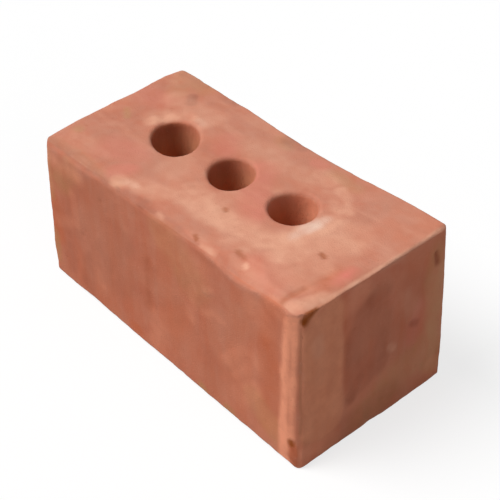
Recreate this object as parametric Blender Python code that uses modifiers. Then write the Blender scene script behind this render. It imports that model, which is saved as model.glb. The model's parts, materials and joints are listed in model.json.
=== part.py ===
"""A fired clay building brick with a row of round cores running through it from bed to bed.

The brick stands on its lower bed with +Z up, its length along X and its origin at the middle of that bed.
It is one piece of clay, pressed wet, so the base has spread a little and the long back face has dried hollow.
All sizes are in metres.
"""

import math

import bmesh
import bpy

# Overall size, measured at the lower bed, where the brick is largest.
LENGTH = 0.190
WIDTH = 0.090
HEIGHT = 0.087

# How far the wet clay has left the true block.
END_LEAN = 0.0025
SIDE_LEAN = 0.0012
BACK_HOLLOW = 0.0016

# The rounded arrises.
ARRIS_RADIUS = 0.0024

# The row of round cores, near the middle of the beds.
CORE_COUNT = 3
CORE_DIAMETER = 0.0245
CORE_PITCH = 0.0415
CORE_ROW_SHIFT = -0.0030
CORE_ROW_SETBACK = 0.0022
CORE_RIM_RADIUS = 0.0015
CORE_OVERRUN = 0.010

# How finely the curves are drawn.
HOLLOW_STEPS = 14
ARRIS_STEPS = 4
CORE_SIDES = 56
RIM_STEPS = 3

# Edges that turn more than this are arrises. A rounded arris turns less than this at each of its steps.
ARRIS_ANGLE = math.radians(40)

CLAY_COLOUR = (0.50, 0.21, 0.13, 1.0)
CLAY_ROUGHNESS = 0.88


def clear_scene():
    """Removes every object of the file the script runs in."""
    for thing in list(bpy.data.objects):
        bpy.data.objects.remove(thing, do_unlink=True)


def new_collection(name):
    """A collection of this name, linked to the scene."""
    collection = bpy.data.collections.new(name)
    bpy.context.scene.collection.children.link(collection)
    return collection


def fired_clay():
    """Dull, dry, salmon-red clay."""
    clay = bpy.data.materials.new("fired_clay")
    clay.use_nodes = True
    shader = clay.node_tree.nodes["Principled BSDF"]
    shader.inputs["Base Color"].default_value = CLAY_COLOUR
    shader.inputs["Roughness"].default_value = CLAY_ROUGHNESS
    shader.inputs["Metallic"].default_value = 0.0
    return clay


def object_of(name, shape, collection):
    """Makes an object of a finished bmesh, shaded smooth apart from its true edges."""
    mesh = bpy.data.meshes.new(name)
    shape.to_mesh(mesh)
    shape.free()
    mesh.shade_smooth()
    mesh.set_sharp_from_angle(angle=ARRIS_ANGLE)
    thing = bpy.data.objects.new(name, mesh)
    collection.objects.link(thing)
    return thing


def runs_along_back(edge):
    """Whether an edge of the block is one of the two long ones of its back face."""
    start, end = (point.co for point in edge.verts)
    return start.y > 0 and end.y > 0 and start.x * end.x < 0


def true_block():
    """A block of the overall size, standing on z = 0, with its back face cut into upright strips."""
    shape = bmesh.new()
    bmesh.ops.create_cube(shape, size=1.0)
    bmesh.ops.translate(shape, verts=shape.verts, vec=(0.0, 0.0, 0.5))
    bmesh.ops.scale(shape, verts=shape.verts, vec=(LENGTH, WIDTH, HEIGHT))
    back_edges = [edge for edge in shape.edges if runs_along_back(edge)]
    bmesh.ops.subdivide_edges(shape, edges=back_edges, cuts=HOLLOW_STEPS - 1)
    return shape


def slump(shape):
    """Leans the ends and sides in towards the top, and draws the back face in at the middle of its length."""
    for point in shape.verts:
        rise = point.co.z / HEIGHT
        along = point.co.x / (LENGTH / 2)
        side = math.copysign(1.0, point.co.y)
        point.co.x -= along * END_LEAN * rise
        point.co.y -= side * SIDE_LEAN * rise
        if side > 0:
            point.co.y -= BACK_HOLLOW * (1.0 - along**2)


def core_cutters(collection):
    """One rod for each core, through both beds."""
    for index in range(CORE_COUNT):
        shape = bmesh.new()
        bmesh.ops.create_cone(
            shape,
            cap_ends=True,
            segments=CORE_SIDES,
            radius1=CORE_DIAMETER / 2,
            radius2=CORE_DIAMETER / 2,
            depth=HEIGHT + 2 * CORE_OVERRUN,
        )
        rod = object_of(f"core_rod_{index + 1}", shape, collection)
        rod.location.x = CORE_ROW_SHIFT + (index - (CORE_COUNT - 1) / 2) * CORE_PITCH
        rod.location.y = CORE_ROW_SETBACK
        rod.location.z = HEIGHT / 2
        rod.hide_render = True
        rod.display_type = "WIRE"


def round_edges(thing, name, radius, steps):
    """Rounds every edge that still turns more than an arris step does."""
    bevel = thing.modifiers.new(name, "BEVEL")
    bevel.limit_method = "ANGLE"
    bevel.angle_limit = ARRIS_ANGLE
    bevel.width = radius
    bevel.segments = steps
    bevel.use_clamp_overlap = False


def brick_body(collection, cutters):
    """The slumped block with rounded arrises, its cores and their eased rims."""
    shape = true_block()
    slump(shape)
    body = object_of("brick_body", shape, collection)
    body.data.materials.append(fired_clay())
    round_edges(body, "arrises", ARRIS_RADIUS, ARRIS_STEPS)
    cores = body.modifiers.new("cores", "BOOLEAN")
    cores.operation = "DIFFERENCE"
    cores.solver = "EXACT"
    cores.operand_type = "COLLECTION"
    cores.collection = cutters
    round_edges(body, "core rims", CORE_RIM_RADIUS, RIM_STEPS)
    return body


def main():
    clear_scene()
    brick = new_collection("cored_clay_brick")
    cutters = new_collection("cutters")
    core_cutters(cutters)
    brick_body(brick, cutters)


main()
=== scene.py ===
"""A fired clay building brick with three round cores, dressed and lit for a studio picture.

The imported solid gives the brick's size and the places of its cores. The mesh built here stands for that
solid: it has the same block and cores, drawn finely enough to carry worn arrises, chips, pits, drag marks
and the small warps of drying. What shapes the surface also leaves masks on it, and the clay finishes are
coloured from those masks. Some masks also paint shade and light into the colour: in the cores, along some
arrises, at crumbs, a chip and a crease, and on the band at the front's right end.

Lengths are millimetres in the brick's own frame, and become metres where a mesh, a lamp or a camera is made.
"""

import json
import logging
import math
from dataclasses import dataclass
from enum import Enum
from typing import Any, ClassVar

import bmesh
import bpy
import numpy as np
from mathutils import Matrix, Vector, noise


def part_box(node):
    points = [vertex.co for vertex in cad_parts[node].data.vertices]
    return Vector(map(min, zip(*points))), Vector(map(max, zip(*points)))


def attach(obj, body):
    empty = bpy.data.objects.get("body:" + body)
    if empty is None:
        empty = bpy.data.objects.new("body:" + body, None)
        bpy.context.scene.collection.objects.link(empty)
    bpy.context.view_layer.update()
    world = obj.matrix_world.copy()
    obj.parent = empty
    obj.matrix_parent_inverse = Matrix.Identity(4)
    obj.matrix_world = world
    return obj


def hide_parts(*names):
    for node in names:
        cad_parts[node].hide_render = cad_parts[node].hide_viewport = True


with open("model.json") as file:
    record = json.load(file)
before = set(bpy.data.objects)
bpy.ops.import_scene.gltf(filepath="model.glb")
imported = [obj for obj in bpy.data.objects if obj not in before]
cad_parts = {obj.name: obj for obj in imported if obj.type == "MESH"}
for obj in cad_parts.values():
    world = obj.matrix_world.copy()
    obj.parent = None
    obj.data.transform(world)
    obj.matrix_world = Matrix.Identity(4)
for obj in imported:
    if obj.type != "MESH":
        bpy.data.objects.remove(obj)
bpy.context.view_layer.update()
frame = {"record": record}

MM = 0.001
BODY = "root"
NODE = "brick_body"
BAKE_MAP = "OFBake"

log = logging.getLogger("cored_brick")

Point = tuple[float, float]
Triple = tuple[float, float, float]
Colour = Triple
Source = bpy.types.NodeSocket | float | Triple

WHITE: Colour = (1.0, 1.0, 1.0)


def smooth(low: float, high: float, value: np.ndarray) -> np.ndarray:
    """Eases from 0 at low to 1 at high, where low may also be the larger of the two."""
    share = np.clip((value - low) / (high - low), 0.0, 1.0)
    return share * share * (3.0 - 2.0 * share)


def from_screen(red: int, green: int, blue: int) -> Colour:
    """Takes a screen's colour, in steps of 255, to the linear one of a shader, by the usual screen curve."""
    shares = (red / 255, green / 255, blue / 255)
    return tuple(s / 12.92 if s <= 0.04045 else ((s + 0.055) / 1.055) ** 2.4 for s in shares)


class Side(Enum):
    """A face of the block: the axes across it and up it, the axis that it faces along, and which way."""

    UPPER_BED = (0, 1, 2, 1)
    LOWER_BED = (0, 1, 2, -1)
    FRONT = (0, 2, 1, -1)
    BACK = (0, 2, 1, 1)
    RIGHT_END = (1, 2, 0, 1)
    LEFT_END = (1, 2, 0, -1)

    @property
    def plane(self) -> list[int]:
        """The axes across the face and up it."""
        return list(self.value[:2])

    @property
    def facing(self) -> int:
        """The axis that the face looks along."""
        return self.value[2]

    @property
    def sign(self) -> int:
        """Which way along that axis it looks."""
        return self.value[3]


class Mask(Enum):
    """What a point of the surface has on it, painted shade and light among them. Each value names the mesh
    attribute that holds it.
    """

    BARE = "bare"
    BLOOM = "bloom"
    LIME = "lime"
    PINK = "pink"
    RUST = "rust"
    OCHRE = "ochre"
    SCORCH = "scorch"
    DIRT = "dirt"
    DUST = "dust"
    DRAG = "drag"
    DEPTH = "depth"


class Finish(Enum):
    """The material slots of the brick's mesh, in order."""

    SKIN = 0
    CORE_WALL = 1


class Surface:
    """The points of the block's mesh and the way each one faces, with the measures that marks need.

    Attributes:
        ARRIS_REACH: How far from an arris a point starts to belong to it.
        ARRIS_WHOLE: How far from it a point belongs to it wholly.
    """

    ARRIS_REACH: ClassVar[float] = 5.0
    ARRIS_WHOLE: ClassVar[float] = 0.5

    def __init__(self, points: np.ndarray, normals: np.ndarray, dried: np.ndarray, box: np.ndarray) -> None:
        """Takes the points as they lie on the true block.

        Args:
            points: One row for each point.
            normals: The way each point faces.
            dried: Where the points lie once the block has dried, which is where marks are measured.
            box: The block's lowest and highest corners.
        """
        self.points = points
        self.normals = normals
        self.dried = dried
        self.low, self.high = box

    def share_of(self, side: Side, turn: Point = (0.2, 0.65), skin: float = 9.0) -> np.ndarray:
        """How far each point belongs to a face.

        Args:
            side: The face.
            turn: How squarely a point faces as the face does where its share starts, and where it is whole.
            skin: How far below the face's plane a point may lie.

        Returns:
            A share from 0 to 1 for each point.
        """
        axis = side.facing
        plane = self.high[axis] if side.sign > 0 else self.low[axis]
        below = (plane - self.points[:, axis]) * side.sign
        return smooth(*turn, self.normals[:, axis] * side.sign) * smooth(skin, skin / 2, below)

    def arris_share(self) -> np.ndarray:
        """How far each point lies on an outer arris.

        Returns:
            A share from 0 to 1 for each point.
        """
        inside = np.minimum(self.points - self.low, self.high - self.points)
        near_two = np.sort(inside, axis=1)[:, 1]
        return smooth(self.ARRIS_REACH, self.ARRIS_WHOLE, near_two)

    def distance(self, side: Side, path: tuple[Point, ...]) -> np.ndarray:
        """How far each point is from a path drawn on a face, seen square on.

        Args:
            side: The face.
            path: The path's points, across the face and up it. One point makes a spot.

        Returns:
            A distance for each point.
        """
        flat = self.dried[:, side.plane]
        stops = np.array(path, float)
        least = np.linalg.norm(flat - stops[0], axis=1)
        for start, end in zip(stops[:-1], stops[1:]):
            run = end - start
            along = np.clip((flat - start) @ run / (run @ run), 0.0, 1.0)
            least = np.minimum(least, np.linalg.norm(flat - start - along[:, None] * run, axis=1))
        return least


@dataclass(frozen=True)
class Waves:
    """Smooth noise over the surface.

    Attributes:
        height: How far it swings, for the most part, to either hand of 0.
        wave: The length of its largest waves.
        octaves: How many sizes of waves it has.
        stretch: How many times longer the waves are along each axis.
        field: Picks one of many unlike fields.
        FALL_OFF: How much weaker each size is than the one before, as a power of FINER.
        FINER: How many times finer each size is than the one before.
        APART: How far one field lies from the next, in waves.
    """

    height: float
    wave: float
    octaves: int = 1
    stretch: Triple = (1.0, 1.0, 1.0)
    field: int = 0

    FALL_OFF: ClassVar[float] = 1.0
    FINER: ClassVar[float] = 2.0
    APART: ClassVar[Triple] = (17.3, 31.7, 47.9)

    def over(self, surface: Surface) -> np.ndarray:
        """Works the noise out over a surface.

        Args:
            surface: The points.

        Returns:
            The noise at each point.
        """
        places = surface.points / (self.wave * np.array(self.stretch)) + np.array(self.APART) * self.field
        settings = (self.FALL_OFF, self.FINER, self.octaves)
        return self.height * np.array([noise.fractal(Vector(place), *settings) for place in places.tolist()])


class Marks:
    """How much of each kind of mark every point of the surface has."""

    def __init__(self, count: int) -> None:
        """Starts with no marks on that many points."""
        self.shares = {mask: np.zeros(count) for mask in Mask}

    def lay(self, mask: Mask, share: np.ndarray) -> None:
        """Lays down a mark, which shows where it is stronger than what is there."""
        self.shares[mask] = np.maximum(self.shares[mask], share)

    def write(self, mesh: bpy.types.Mesh) -> None:
        """Gives a mesh one attribute for each kind of mark.

        Args:
            mesh: The mesh, with the points that were marked.
        """
        for mask, share in self.shares.items():
            layer = mesh.attributes.new(mask.value, "FLOAT", "POINT")
            layer.data.foreach_set("value", np.clip(share, 0.0, 1.0).astype(np.float32))


@dataclass(frozen=True)
class Dent:
    """A hollow pressed, torn or chipped into one face, or a proud lip where the depth is below zero.

    Attributes:
        side: The face it is in.
        path: Where it runs, across the face and up it.
        radius: Half its width.
        depth: How deep it is at the middle.
        ragged: How far its outline wanders.
        dirt: How much darker clay shows in it, which in the chip under the right end's lip and the crease is
            partly painted shade.
        BOWL: How much its floor is drawn to a point.
        TURN: How squarely a point faces as the face does where the dent starts, and where it is whole.
    """

    side: Side
    path: tuple[Point, ...]
    radius: float
    depth: float
    ragged: float = 0.4
    dirt: float = 0.0

    BOWL: ClassVar[float] = 1.3
    TURN: ClassVar[Point] = (0.15, 0.55)

    def shape(self, surface: Surface, wander: np.ndarray) -> np.ndarray:
        """How much of the dent's depth each point of a surface takes, from 0 to 1.

        Args:
            surface: The points.
            wander: Noise that makes the outline uneven.

        Returns:
            A share for each point.
        """
        away = surface.distance(self.side, self.path) + wander * self.ragged
        hollow = np.clip(1.0 - (away / self.radius) ** 2, 0.0, 1.0) ** self.BOWL
        return hollow * surface.share_of(self.side, self.TURN)


@dataclass(frozen=True)
class ArrisBreak:
    """A stretch of arris that slumped or broke away, and left a slope.

    Attributes:
        sides: The two faces that meet at the arris.
        lean: How much the slope looks along the first face's axis, beside the second's.
        middle: Where it is deepest, along the arris.
        reach: How far it runs on either hand.
        depth: How far it cuts in from the true arris.
        soft: How far the slope takes to run out into the faces.
        bare: How much of the broken clay shows its colour.
        rough: How uneven the slope is, beside the usual.
        RUN_OUT: The share of the depth below which the slope runs out into the arris.
    """

    sides: tuple[Side, Side]
    lean: float
    middle: float
    reach: float
    depth: float
    soft: float = 0.8
    bare: float = 0.0
    rough: float = 1.0

    RUN_OUT: ClassVar[float] = 0.15

    def outward(self) -> np.ndarray:
        """The way the slope looks.

        Returns:
            A direction of length 1.
        """
        way = np.zeros(3)
        way[self.sides[0].facing] = self.sides[0].sign * self.lean
        way[self.sides[1].facing] = self.sides[1].sign
        return way / np.linalg.norm(way)

    def excess(self, surface: Surface, points: np.ndarray, wander: np.ndarray) -> np.ndarray:
        """How far each point stands out past the slope.

        Args:
            surface: The true block's points.
            points: The points as they are shaped so far.
            wander: Noise that roughens the slope.

        Returns:
            A length for each point, 0 for those behind the slope.
        """
        way = self.outward()
        corner = np.where(way > 0, surface.high, surface.low)
        run = ({0, 1, 2} - {self.sides[0].facing, self.sides[1].facing}).pop()
        off = (surface.dried[:, run] - self.middle) / self.reach
        share = np.clip(1.0 - off**2, 0.0, 1.0)
        out = (points - corner) @ way + self.depth * share + self.rough * wander
        eased = np.clip(out + self.soft, 0.0, 2.0 * self.soft) ** 2 / (4.0 * self.soft)
        return (eased + np.maximum(out - self.soft, 0.0)) * smooth(0.0, self.RUN_OUT, share)


@dataclass(frozen=True)
class Stain:
    """A soft-edged patch or stroke of another tone on a face.

    Attributes:
        path: Where it runs, across the face and up it.
        radius: How far its full strength reaches.
        fade: How far beyond that it takes to fade out.
        strength: Its share at full strength.
        WANDER: How far its outline wanders, beside its fade.
    """

    path: tuple[Point, ...]
    radius: float
    fade: float
    strength: float

    WANDER: ClassVar[float] = 0.35

    def share(self, surface: Surface, side: Side, wander: np.ndarray, patchy: np.ndarray) -> np.ndarray:
        """How strong the stain is at each point of a surface, if the whole of it were that face.

        Args:
            surface: The points.
            side: The face it is on.
            wander: Noise that makes the outline uneven, from -1 to 1.
            patchy: How much thicker or thinner than usual a stain lies, around 1.

        Returns:
            A share for each point.
        """
        away = surface.distance(side, self.path) + self.WANDER * wander * self.fade
        return self.strength * smooth(self.radius + self.fade, self.radius, away) * patchy


class PatchSheet:
    """Collects grids of points and makes them one welded mesh, with places on the bake map.

    Attributes:
        WELD: How near two points are that become one.
    """

    WELD: ClassVar[float] = 0.004

    def __init__(self) -> None:
        """Starts with nothing on the sheet."""
        self.points: list[np.ndarray] = []
        self.places: list[np.ndarray] = []
        self.faces: list[np.ndarray] = []
        self.finishes: list[np.ndarray] = []
        self.count = 0

    def add(
        self, points: np.ndarray, places: np.ndarray, finish: Finish, kept: np.ndarray | None = None
    ) -> None:
        """Lays down one grid.

        Args:
            points: Rows and columns of points.
            places: The same rows and columns on the bake map.
            finish: The material that the grid's faces take.
            kept: Which of its cells have a face. All of them, if it isn't given.
        """
        rows, columns = points.shape[:2]
        index = np.arange(rows * columns).reshape(rows, columns) + self.count
        cells = np.stack([index[:-1, :-1], index[:-1, 1:], index[1:, 1:], index[1:, :-1]], axis=-1)
        faces = cells.reshape(-1, 4) if kept is None else cells[kept]
        self.points.append(points.reshape(-1, 3))
        self.places.append(places.reshape(-1, 2))
        self.faces.append(faces)
        self.finishes.append(np.full(len(faces), finish.value))
        self.count += rows * columns

    def mesh(self, name: str) -> bpy.types.Mesh:
        """Welds the grids where they meet.

        Args:
            name: The mesh's name.

        Returns:
            A closed mesh in millimetres, its faces pointing out.
        """
        faces = np.concatenate(self.faces)
        places = np.concatenate(self.places)
        mesh = bpy.data.meshes.new(name)
        mesh.from_pydata(np.concatenate(self.points).tolist(), [], faces.tolist())
        mesh.polygons.foreach_set("material_index", np.concatenate(self.finishes).astype(np.int32))
        layer = mesh.uv_layers.new(name=BAKE_MAP)
        layer.data.foreach_set("uv", places[faces.ravel()].astype(np.float32).ravel())
        shape = bmesh.new()
        shape.from_mesh(mesh)
        loose = [point for point in shape.verts if not point.link_faces]
        bmesh.ops.delete(shape, geom=loose, context="VERTS")
        bmesh.ops.remove_doubles(shape, verts=shape.verts, dist=self.WELD)
        bmesh.ops.recalc_face_normals(shape, faces=shape.faces)
        shape.to_mesh(mesh)
        shape.free()
        mesh.shade_smooth()
        return mesh


@dataclass(frozen=True)
class Core:
    """One hole from bed to bed, a little out of round and out of upright.

    Attributes:
        along: Where its axis was drawn, along the brick.
        across: Where its axis was drawn, across the brick.
        radii: Half its width where it is narrowest, and where it is widest.
        turn: The way it is narrowest, in degrees from the brick's length.
        shift: How far its upper mouth lies off the axis, along and across. Its lower mouth lies on it.
        painted_shade: How much painted shade darkens its wall near the mouths, away from the key lamp.
        painted_light: How much painted light, in bright clay, shows on the wall that the key lamp lights.
        lit_wall_way: The way to that lit wall, in degrees from the brick's length.
        UNEVEN: How far its wall swings in and out, beside its radius.
        LOBES: How many times it does so on the way round.
        TWIST: How far those swings turn from bed to bed, in radians.
        AROUND: How far from its axis its wall and rims may lie.
        SHADE_TURN: How far toward the lit wall a wall lies where painted shade starts, and where it is
            whole.
        SHADE_STARTS: How deep the painted shade starts, and how deep it is whole.
        SHADE_ENDS: How deep the painted shade ends, and how deep it starts to thin.
        SHADE_HIDES: How much of the painted light the painted shade takes away.
        LIGHT_STARTS: How deep the painted light starts, and how deep it is whole.
        DRAG_STARTS: How deep the drag streaks start, and how deep they are whole.
        TINT_STARTS: How deep the yellow tint starts, and how deep it is whole.
        TINT: How strong that tint is.
    """

    along: float
    across: float
    radii: Point
    turn: float
    shift: Point
    painted_shade: float
    painted_light: float
    lit_wall_way: float = 50.0

    UNEVEN: ClassVar[float] = 0.011
    LOBES: ClassVar[float] = 3.0
    TWIST: ClassVar[float] = 2.0
    AROUND: ClassVar[float] = 18.0
    SHADE_TURN: ClassVar[Point] = (0.8, -0.3)
    SHADE_STARTS: ClassVar[Point] = (0.3, 2.4)
    SHADE_ENDS: ClassVar[Point] = (22.0, 3.0)
    SHADE_HIDES: ClassVar[float] = 0.65
    LIGHT_STARTS: ClassVar[Point] = (0.8, 3.0)
    DRAG_STARTS: ClassVar[Point] = (1.0, 4.0)
    TINT_STARTS: ClassVar[Point] = (1.0, 12.0)
    TINT: ClassVar[float] = 0.55

    def marks(self, points: np.ndarray, below: np.ndarray) -> dict[Mask, np.ndarray]:
        """How the core's wall is coloured, with painted shade on its dark side and painted light on its lit
        side.

        Args:
            points: The true block's points.
            below: How deep each of them lies, from the nearer bed.

        Returns:
            A share for each point by the kind of mark, 0 away from this core.
        """
        off = points[:, :2] - (self.along, self.across)
        inside = np.hypot(off[:, 0], off[:, 1]) < self.AROUND
        # Painted shade on the wall turned from the key lamp, and painted light, in bright clay, on the lit
        # wall.
        way = math.radians(self.lit_wall_way)
        toward = off @ (math.cos(way), math.sin(way)) / np.linalg.norm(off, axis=1)
        shade_side = smooth(*self.SHADE_TURN, toward)
        painted_shade = self.painted_shade * shade_side * smooth(*self.SHADE_STARTS, below) * smooth(*self.SHADE_ENDS, below)
        bright = self.painted_light * (1.0 - self.SHADE_HIDES * shade_side)
        return {
            Mask.DEPTH: inside * painted_shade,
            Mask.DRAG: inside * smooth(*self.DRAG_STARTS, below),
            Mask.BARE: inside * smooth(*self.LIGHT_STARTS, below) * bright,
            Mask.OCHRE: inside * smooth(*self.TINT_STARTS, below) * self.TINT,
        }

    def ring(self, angles: np.ndarray, fall: float, grow: float) -> np.ndarray:
        """Points round the hole at one depth.

        Args:
            angles: The angle of each point.
            fall: How deep the ring lies, from 0 at the upper bed to 1 at the lower.
            grow: How much wider the ring is than the hole.

        Returns:
            The points, along and across.
        """
        narrow, wide = self.radii
        turned = angles - math.radians(self.turn)
        oval = narrow * wide / np.hypot(wide * np.cos(turned), narrow * np.sin(turned))
        reach = oval * (1.0 + self.UNEVEN * np.sin(self.LOBES * turned + self.TWIST * fall)) + grow
        middle_along = self.along + self.shift[0] - self.shift[0] * fall
        middle_across = self.across + self.shift[1] - self.shift[1] * fall
        around = [middle_along + reach * np.cos(angles), middle_across + reach * np.sin(angles)]
        return np.stack(around, axis=-1)


@dataclass
class BlockLayout:
    """The true block as grids: six faces with rounded arrises, and a sleeve through each core.

    Attributes:
        low: The block's lowest corner.
        high: The block's highest corner.
        cores: The holes.
        arris: The radius of the outer arrises.
        arris_steps: How many cells turn half an arris.
        lip: How far the right end's upper arris stands out, where the wire dragged it.
        lip_fall: How far below the upper bed the lip starts, and where it is whole.
        lip_reach: How far in from the end it starts, and where it is whole.
        lip_run_out: How far from the long faces it is whole.
        cell: About how wide a cell is elsewhere.
        pad: Half the width of the square round each core that its sleeve fills.
        pad_steps: How many cells run along that square's side.
        web_steps: How many rings lie between the square and the rim.
        rim: The radius of the rims.
        rim_steps: How many rings turn a rim.
        wall_cell: How tall a cell of a core's wall is.
        map_gap: The gap between islands of the bake map.
    """

    low: np.ndarray
    high: np.ndarray
    cores: tuple[Core, ...]
    arris: float = 2.0
    arris_steps: int = 5
    lip: float = 1.0
    lip_fall: Point = (4.5, 1.0)
    lip_reach: Point = (4.0, 0.5)
    lip_run_out: float = 6.0
    cell: float = 1.1
    pad: float = 19.5
    pad_steps: int = 32
    web_steps: int = 5
    rim: float = 2.4
    rim_steps: int = 5
    wall_cell: float = 1.6
    map_gap: float = 2.0

    def lines(self, axis: int) -> np.ndarray:
        """Where the grid lines cross one axis.

        Args:
            axis: The axis.

        Returns:
            The crossings in order, closer together on the arrises.
        """
        turn = self.arris * np.tan(np.linspace(0.0, math.pi / 4, self.arris_steps + 1))
        stops = [(self.low[axis] + self.arris, 0)]
        centres = {0: [core.along for core in self.cores], 1: [self.cores[0].across], 2: []}[axis]
        for centre in centres:
            stops.append((centre - self.pad, None))
            stops.append((centre + self.pad, self.pad_steps))
        stops.append((self.high[axis] - self.arris, None))
        runs = [self.low[axis] + self.arris - turn[:0:-1]]
        for (start, _), (end, steps) in zip(stops[:-1], stops[1:]):
            count = steps or max(1, round((end - start) / self.cell))
            runs.append(np.linspace(start, end, count + 1)[:-1])
        runs.append(self.high[axis] - self.arris + turn)
        return np.concatenate(runs)

    def rounded(self, points: np.ndarray) -> np.ndarray:
        """Draws points of the sharp block in to the rounded one, and its lip out.

        Args:
            points: Points on the sharp block's faces.

        Returns:
            Where they lie on the rounded block.
        """
        inner = np.clip(points, self.low + self.arris, self.high - self.arris)
        out = points - inner
        turned = inner + self.arris * out / np.linalg.norm(out, axis=-1, keepdims=True)
        inside = self.high - points
        from_side = np.minimum(points[..., 1] - self.low[1], inside[..., 1])
        drawn = smooth(*self.lip_fall, inside[..., 2]) * smooth(*self.lip_reach, inside[..., 0])
        turned[..., 0] += self.lip * drawn * smooth(0.0, self.lip_run_out, from_side)
        return turned

    def island(self, side: Side) -> np.ndarray:
        """Where a face's lowest corner lies on the bake map, before the map is scaled.

        Args:
            side: The face.

        Returns:
            The place, across the map and up it.
        """
        length, width, height = self.high - self.low
        gap = self.map_gap
        rows = {
            Side.UPPER_BED: (0.0, 0.0),
            Side.LOWER_BED: (0.0, width + gap),
            Side.FRONT: (0.0, 2 * (width + gap)),
            Side.BACK: (0.0, 2 * (width + gap) + height + gap),
            Side.RIGHT_END: (length + gap, 0.0),
            Side.LEFT_END: (length + gap, height + gap),
        }
        return np.array(rows[side])

    def map_side(self) -> float:
        """How wide and high the bake map is, before it is scaled."""
        width, height = (self.high - self.low)[1:]
        return 2 * (width + self.map_gap) + 2 * (height + self.map_gap)

    def on_map(self, side: Side, points: np.ndarray) -> np.ndarray:
        """Places points of a face on the bake map, seen square on."""
        flat = points[..., side.plane] - self.low[side.plane]
        return (flat + self.island(side) + self.map_gap / 2) / self.map_side()

    def face(self, sheet: PatchSheet, side: Side) -> None:
        """Lays down one outer face, open where a core's square is.

        Args:
            sheet: The sheet to lay it on.
            side: The face.
        """
        across, up = (self.lines(axis) for axis in side.plane)
        grid = np.zeros((len(across), len(up), 3))
        grid[..., side.plane[0]] = across[:, None]
        grid[..., side.plane[1]] = up[None, :]
        grid[..., side.facing] = self.high[side.facing] if side.sign > 0 else self.low[side.facing]
        kept = np.ones((len(across) - 1, len(up) - 1), bool)
        if side.facing == 2:
            middle_along = (across[:-1] + across[1:]) / 2
            middle_across = (up[:-1] + up[1:]) / 2
            for core in self.cores:
                in_along = np.abs(middle_along - core.along) < self.pad
                in_across = np.abs(middle_across - core.across) < self.pad
                kept &= ~(in_along[:, None] & in_across[None, :])
        sheet.add(self.rounded(grid), self.on_map(side, grid), Finish.SKIN, kept)

    def square(self, core: Core) -> np.ndarray:
        """Goes round the square that a core's sleeve fills, from one corner back to it.

        Args:
            core: The core.

        Returns:
            The points, along and across.
        """
        corners = np.array([(1.0, 1.0), (-1.0, 1.0), (-1.0, -1.0), (1.0, -1.0), (1.0, 1.0)])
        steps = np.arange(4 * self.pad_steps) / self.pad_steps
        side = steps.astype(int)
        part = (steps - side)[:, None]
        ring = corners[side] * (1.0 - part) + corners[side + 1] * part
        ring = np.concatenate([ring, ring[:1]])
        return ring * self.pad + (core.along, core.across)

    def sleeve(self, sheet: PatchSheet, core: Core, index: int) -> None:
        """Lays down a core's wall, its rims and the squares of both beds that it opens in.

        Args:
            sheet: The sheet to lay them on.
            core: The core.
            index: Its number in the row, from 0.
        """
        square = self.square(core)
        angles = np.linspace(0.0, 2.0 * math.pi, len(square)) + math.pi / 4
        depth = self.high[2] - self.low[2]
        beds = ((Side.UPPER_BED, 0.0, self.high[2]), (Side.LOWER_BED, 1.0, self.low[2]))
        for side, fall, height in beds:
            mouth = core.ring(angles, fall, self.rim)
            shares = np.linspace(0.0, 1.0, self.web_steps + 1)[:, None, None]
            flat = square * (1.0 - shares) + mouth * shares
            web = np.concatenate([flat, np.full((*flat.shape[:2], 1), height)], axis=-1)
            sheet.add(web, self.on_map(side, web), Finish.SKIN)
        turn = np.linspace(0.0, math.pi / 2, self.rim_steps + 1)
        rows = max(2, round((depth - 2 * self.rim) / self.wall_cell))
        falls = np.concatenate(
            [
                self.rim * (1.0 - np.cos(turn)),
                np.linspace(self.rim, depth - self.rim, rows + 1)[1:-1],
                depth - self.rim * (1.0 - np.cos(turn[::-1])),
            ]
        )
        flare = self.rim * (1.0 - np.sin(turn))
        widths = np.concatenate([flare, np.zeros(rows - 1), flare[::-1]])
        rings = [core.ring(angles, fall / depth, grow) for fall, grow in zip(falls, widths)]
        heights = np.repeat((self.high[2] - falls)[:, None, None], len(angles), axis=1)
        wall = np.concatenate([rings, heights], axis=-1)
        around = np.linspace(0.0, 2.0 * math.pi * core.radii[0], len(angles))
        beyond_end = self.high[1] - self.low[1] + self.map_gap
        corner = self.island(Side.RIGHT_END) + (beyond_end, index * (depth + self.map_gap))
        places = np.stack(np.broadcast_arrays(around[None, :], falls[:, None]), axis=-1)
        places = places + corner + self.map_gap / 2
        sheet.add(wall, places / self.map_side(), Finish.CORE_WALL)

    def mesh(self, name: str) -> bpy.types.Mesh:
        """Makes the whole block.

        Args:
            name: The mesh's name.

        Returns:
            The welded mesh.
        """
        sheet = PatchSheet()
        for side in Side:
            self.face(sheet, side)
        for index, core in enumerate(self.cores):
            self.sleeve(sheet, core, index)
        return sheet.mesh(name)


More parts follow.
